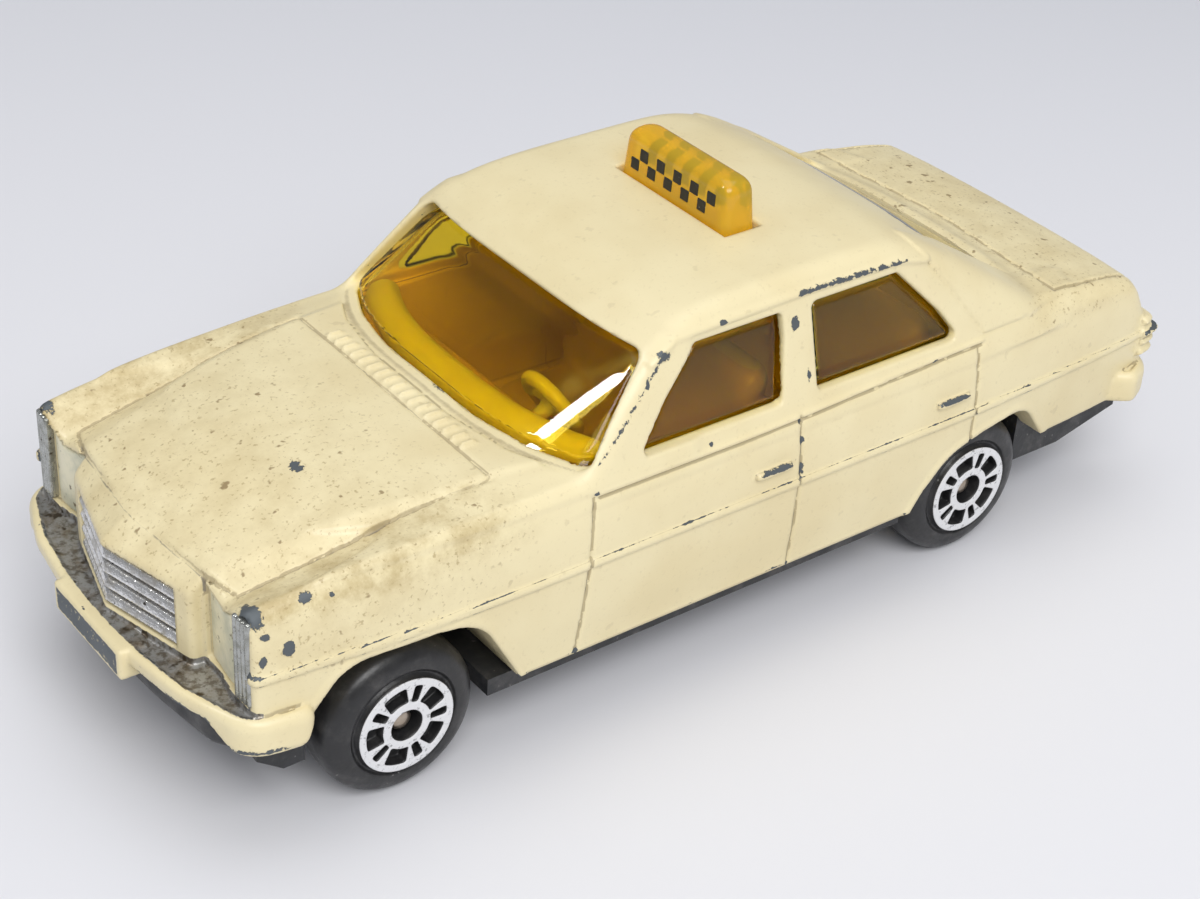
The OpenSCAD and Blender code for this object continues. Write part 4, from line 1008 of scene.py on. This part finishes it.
shape = surface(sign_print, (SIGN_X - 1.8, -4.8, ROOF - 0.3), (SIGN_X + 1.8, 4.8, SIGN_TOP + 0.2), PRINT_CELL)
piece("sign_chequers", shape, "amber", print_black, "glazing")


# Interior

FLOOR_HALF = WHEEL_FACE - TYRE_WIDTH - 0.4
interior_low, interior_high = box_mm("interior")
FLOOR_LOW = interior_low[2]
SEAT_HALF = (FLOOR_HALF - 0.8) / 2
SEAT_MIDDLE = FLOOR_HALF / 2
FRONT_SEAT, REAR_SEAT = MIDDLE_DOOR + 0.6, REAR_AXLE + 2.6
DASH_X, DASH_Z, DASH_RADIUS = BELT_FRONT - 4.1, BELT - 0.35, 1.2
CUSHION_LENGTH, CUSHION_HEIGHT, BACK_THICKNESS, BACK_LEAN = 6.5, 3.9, 2.3, 0.2
FRONT_BACK_HEIGHT, REAR_BACK_HEIGHT = 11.7, 10.9
STEERING_RADIUS, STEERING_RIM, STEERING_TILT = 2.1, 0.48, math.radians(28)
INTERIOR_CELL = 0.24


def block(x, y, z, low, high, soft):
    """A box with rounded edges."""
    sides = soft_max(box(x, low[0], high[0]), box(y, low[1], high[1]), soft)
    return soft_max(sides, box(z, low[2], high[2]), soft)


def seat(x, across, z, place, middle, half, back_height):
    def pad(along, start, length, height, soft):
        low, high = (start, middle - half, FLOOR_LOW), (start + length, middle + half, FLOOR_LOW + height)
        return block(along, across, z, low, high, soft)

    cushion = pad(x, place, CUSHION_LENGTH, CUSHION_HEIGHT, 1.2)
    back = pad(x + BACK_LEAN * (z - FLOOR_LOW), place - 0.4, BACK_THICKNESS, back_height, 1.5)
    return soft_min(cushion, back, 0.8)


def interior(x, y, z):
    across = np.abs(y)
    tray = block(x, across, z, (REAR_SEAT, -1, FLOOR_LOW), (11.9, FLOOR_HALF, FLOOR_LOW + 0.8), 0.1)
    found = np.minimum(tray, seat(x, across, z, FRONT_SEAT, SEAT_MIDDLE + 0.2, SEAT_HALF, FRONT_BACK_HEIGHT))
    found = soft_min(found, seat(x, across, z, REAR_SEAT + 0.6, 0, FLOOR_HALF, REAR_BACK_HEIGHT), 0.3)
    bow = 3.7 * (across / BELT_HALF) ** 2.8
    bar = np.hypot(0.95 * (x + bow - DASH_X), z - DASH_Z) - DASH_RADIUS
    found = soft_min(found, soft_max(bar, across - 11.5, 0.8), 0.4)
    wall = block(x, across, z, (10.4, -1, FLOOR_LOW), (11.9, FLOOR_HALF, DASH_Z - 0.6), 0.3)
    found = soft_min(found, wall, 0.4)
    u, v, w = x - (DASH_X - 3.6), y - SEAT_MIDDLE - 1, z - (DASH_Z + 0.1)
    c, s = math.cos(STEERING_TILT), math.sin(STEERING_TILT)
    along, up = u * c - w * s, u * s + w * c
    ring = np.hypot(np.hypot(up, v) - STEERING_RADIUS, along) - STEERING_RIM
    spoke = largest((np.abs(up) - 0.35, np.abs(v) - STEERING_RADIUS, np.abs(along) - 0.25))
    column = np.maximum(np.hypot(up, v) - 0.6, box(along, 0, 3.4))
    wheel = soft_min(soft_min(ring, spoke, 0.2), column, 0.4)
    return soft_min(found, wheel, 0.3)


shape = surface(interior, (interior_low[0] - 1, -12, FLOOR_LOW - 0.4),
                (interior_high[0] + 1, 12, interior_high[2] + 2), INTERIOR_CELL)
piece("seats_and_dash", shape, "interior", yellow, "interior")


# Wheels and axles

FOIL_RADIUS, HUB_RADIUS, HUB_DEPTH, WINDOW_DEPTH = 3.22, 1.08, 1.3, 0.8
WINDOW_IN, WINDOW_OUT, WINDOW_COUNT = 1.62, 2.76, 5
WIDE_SHARE, NARROW_SHARE = 0.52, 0.2
WALL_RING, BACK_RADIUS, BOSS_RADIUS, BORE_RADIUS = 4.35, 4.2, 1.6, 0.65
FOIL_THICKNESS, WHEEL_CELL, FOIL_CELL = 0.1, 0.12, 0.05
# The axle's headed end: radius, and depth from its tip
AXLE_HEAD = [(0.2, 0.02), (0.5, 0.07), (0.68, 0.2), (0.72, 0.34), (0.6, 0.4)]


def wheel_window(u, w):
    """The windows of a wheel, seen from outside."""
    radius, angle = np.hypot(u, w), np.arctan2(w, u)
    step = 2 * math.pi / WINDOW_COUNT

    def row(turn, share):
        off = np.abs((angle / step - turn + 0.5) % 1 - 0.5) * step
        side = radius * np.sin(np.minimum(off, 1.5)) - 0.5 * (radius * 0.5 + 1.1) * share * step
        return soft_max(side, box(radius, WINDOW_IN, WINDOW_OUT), 0.2)

    return np.minimum(row(0, WIDE_SHARE), row(0.5, NARROW_SHARE))


def wheel(u, d, w):
    """A wheel round its own middle, where d is the depth from its face."""
    radius = np.hypot(u, w)
    round_tread = radius - TYRE_RADIUS + 0.12 * ramp(np.abs(d - 2), 1.2, 2)
    tread = soft_max(round_tread, box(d, 0.14, TYRE_WIDTH), 1.5)
    lip = 0.1 * bump(np.abs(radius - WALL_RING), 0.7) - 0.28 * bump(np.abs(radius - FOIL_RADIUS - 0.22), 0.5)
    face = soft_max(tread, -d + 0.14 - lip, 0.1)
    dish = np.maximum(radius - FOIL_RADIUS, box(d, 0, 1))
    shape = soft_min(face, dish, 0.05)
    hub = np.maximum(radius - HUB_RADIUS, d - HUB_DEPTH)
    cuts = np.minimum(hub, np.maximum(wheel_window(u, w), d - WINDOW_DEPTH))
    back = largest((radius - BACK_RADIUS, BOSS_RADIUS - radius, TYRE_WIDTH - 1.2 - d))
    return soft_max(shape, -smallest((cuts, back, radius - BORE_RADIUS)), 0.1)


def foil(u, d, w):
    radius = np.hypot(u, w)
    flat = np.maximum(box(radius, HUB_RADIUS, FOIL_RADIUS), -wheel_window(u, w))
    return soft_max(flat, box(d, -FOIL_THICKNESS, 0), 0.05)


wheel_shape = surface(wheel, (-5.4, -0.3, -5.4), (5.4, TYRE_WIDTH + 0.3, 5.4), WHEEL_CELL)
foil_shape = surface(foil, (-3.4, -0.2, -3.4), (3.4, 0.1, 3.4), FOIL_CELL)
for end, axle in (("front", FRONT_AXLE), ("rear", REAR_AXLE)):
    for side, sign_of in (("left", 1), ("right", -1)):
        for shape, kind, finish in ((wheel_shape, "wheel", tyre_black), (foil_shape, "foil", foil_white)):
            points, faces = mirror(*shape) if sign_of > 0 else shape
            points = points + (axle, sign_of * WHEEL_FACE, AXLE_Z)
            node = f"{kind}_{end}_{side}"
            piece(node + "_shape", (points, faces), kind, finish, node, f"{end}_{side}_wheel")
    reach = box_mm(f"{end}_axle")[1][1]
    half = [(radius, reach - depth) for radius, depth in AXLE_HEAD]
    points, faces = lathe(half + [(radius, -place) for radius, place in half[::-1]])
    shape = (points + (axle, 0, AXLE_Z), faces)
    piece(f"{end}_axle_wire", shape, "wire", wire, f"{end}_axle", f"{end}_axle_set")


# Base


def valance(x, y, z):
    """The front of the base, which fills the room under the bumper's bar."""
    across = np.abs(y)
    front = bumper_outline(x, across, FRONT_BUMPER) + 1.8
    back = FRONT_AXLE + ARCH_RADIUS + 0.3 - x
    shape = soft_max(front, box(z, BASE_LOW + 0.6, BAR_LOW + 0.2), 1.0)
    return np.maximum(soft_max(shape, across - 10.8, 2.0), back)


base = frame["nodes"]["baseplate"]
points = np.array([base.matrix_world @ point.co for point in base.data.vertices]) / MM
faces = [tuple(face.vertices) for face in base.data.polygons]
plate = piece("base_plate", (points, faces), "base", base_black, "baseplate")
plate.data.set_sharp_from_angle(angle=math.radians(30))
VALANCE_CELL = 0.15
shape = surface(valance, (FRONT_AXLE + 5, 0, BASE_LOW - 0.3), (NOSE, 13, SHELF + 0.3), VALANCE_CELL,
                mirrored=True)
piece("base_valance", shape, "base", base_black, "baseplate")


# Floor, light and camera

# Camera that took the photograph, in millimetres, degrees and the photograph's pixels
CAMERA_PLACE, CAMERA_TARGET = Vector((82.21, 101.69, 93.40)), Vector((2.72, 1.99, 9.99))
CAMERA_ROLL = 3.44
FOCAL_PIXELS, PHOTO_WIDTH, PHOTO_HEIGHT, SENSOR = 2337.8, 1200, 899, 36.0
# Pixel of the photograph where the windscreen shows a lamp
GLINT_PIXEL = (580, 405)

# Colour of the paper near the camera, and the painted shade it fades to far away
FLOOR_NEAR, FLOOR_FAR_SHADE = (0.73, 0.73, 0.76), (0.31, 0.34, 0.40)
FLOOR_HALF_SIZE = 3.0


def floor():
    """A sheet of pale paper with painted shade that darkens it along the camera's line of view."""
    mesh = bpy.data.meshes.new("floor")
    corners = [(FLOOR_HALF_SIZE * u, FLOOR_HALF_SIZE * v, 0) for u, v in ((-1, -1), (1, -1), (1, 1), (-1, 1))]
    mesh.from_pydata(corners, [], [(0, 1, 2, 3)])
    paint = Paint("floor_paper", FLOOR_NEAR, 0.8)
    view = (CAMERA_TARGET - CAMERA_PLACE).normalized()
    away = paint.node("VectorMath", "Value", {0: paint.place, 1: view}, operation="DOT_PRODUCT")
    # Painted shade: the paper darkens and turns bluer further along the camera's line of view
    paint.set("Base Color", paint.mix(paint.step(away, 0.0, 0.3), FLOOR_NEAR, FLOOR_FAR_SHADE))
    mesh.materials.append(paint.material)
    show("floor", mesh)


def lamp(name, place, target, size, power):
    data = bpy.data.lights.new(name, "AREA")
    data.shape = "RECTANGLE"
    data.size, data.size_y = size
    data.energy = power
    made = show(name, data)
    made.location = place
    made.rotation_euler = (Vector(target) - Vector(place)).to_track_quat("-Z", "Y").to_euler()
    return made


def camera_turn():
    look = (CAMERA_TARGET - CAMERA_PLACE).to_track_quat("-Z", "Y").to_matrix()
    return look @ Matrix.Rotation(math.radians(CAMERA_ROLL), 3, "Z")


def glint(reach=0.25):
    """A small lamp that only shines, put where the windscreen's near end mirrors it to the camera."""
    right, up = GLINT_PIXEL[0] - PHOTO_WIDTH / 2, PHOTO_HEIGHT / 2 - GLINT_PIXEL[1]
    ray = np.array((camera_turn() @ Vector((right, up, -FOCAL_PIXELS))).normalized())
    places = np.array(CAMERA_PLACE) + np.linspace(100, 200, 4001)[:, None] * ray
    hit = places[np.argmax(glass(*places.T) < 0)]
    normal = slope_at(glass, hit[None])[0]
    normal /= np.linalg.norm(normal)
    mirrored = ray - 2 * ray.dot(normal) * normal
    made = lamp("glint", hit * MM + reach * mirrored, hit * MM, (0.022, 0.055), 0.17)
    made.visible_camera = made.visible_diffuse = False


def world(strength=0.45, mirrored_strength=0.2):
    """An even sky, dimmer where it is mirrored, as in a room."""
    made = bpy.data.worlds.new("studio")
    made.use_nodes = True
    nodes, links = made.node_tree.nodes, made.node_tree.links
    sky = nodes["Background"]
    sky.inputs["Color"].default_value = (0.93, 0.95, 1.0, 1)
    level = nodes.new("ShaderNodeMapRange")
    links.new(nodes.new("ShaderNodeLightPath").outputs["Is Glossy Ray"], level.inputs["Value"])
    level.inputs["To Min"].default_value, level.inputs["To Max"].default_value = strength, mirrored_strength
    links.new(level.outputs["Result"], sky.inputs["Strength"])
    bpy.context.scene.world = made


def camera():
    data = bpy.data.cameras.new("camera")
    data.sensor_width = SENSOR
    data.lens = FOCAL_PIXELS / PHOTO_WIDTH * SENSOR
    data.clip_start, data.clip_end = 0.01, 20
    made = show("camera", data)
    made.matrix_world = Matrix.Translation(CAMERA_PLACE * MM) @ camera_turn().to_4x4()
    bpy.context.scene.camera = made


floor()
world()
lamp("key", place=(0.16, 0.36, 0.42), target=(0, 0, 0), size=(0.4, 0.3), power=2.3)
lamp("top", place=(-0.05, -0.05, 0.6), target=(0, 0, 0), size=(0.5, 0.5), power=1.0)
glint()
camera()
bpy.context.scene.view_settings.view_transform = "Standard"
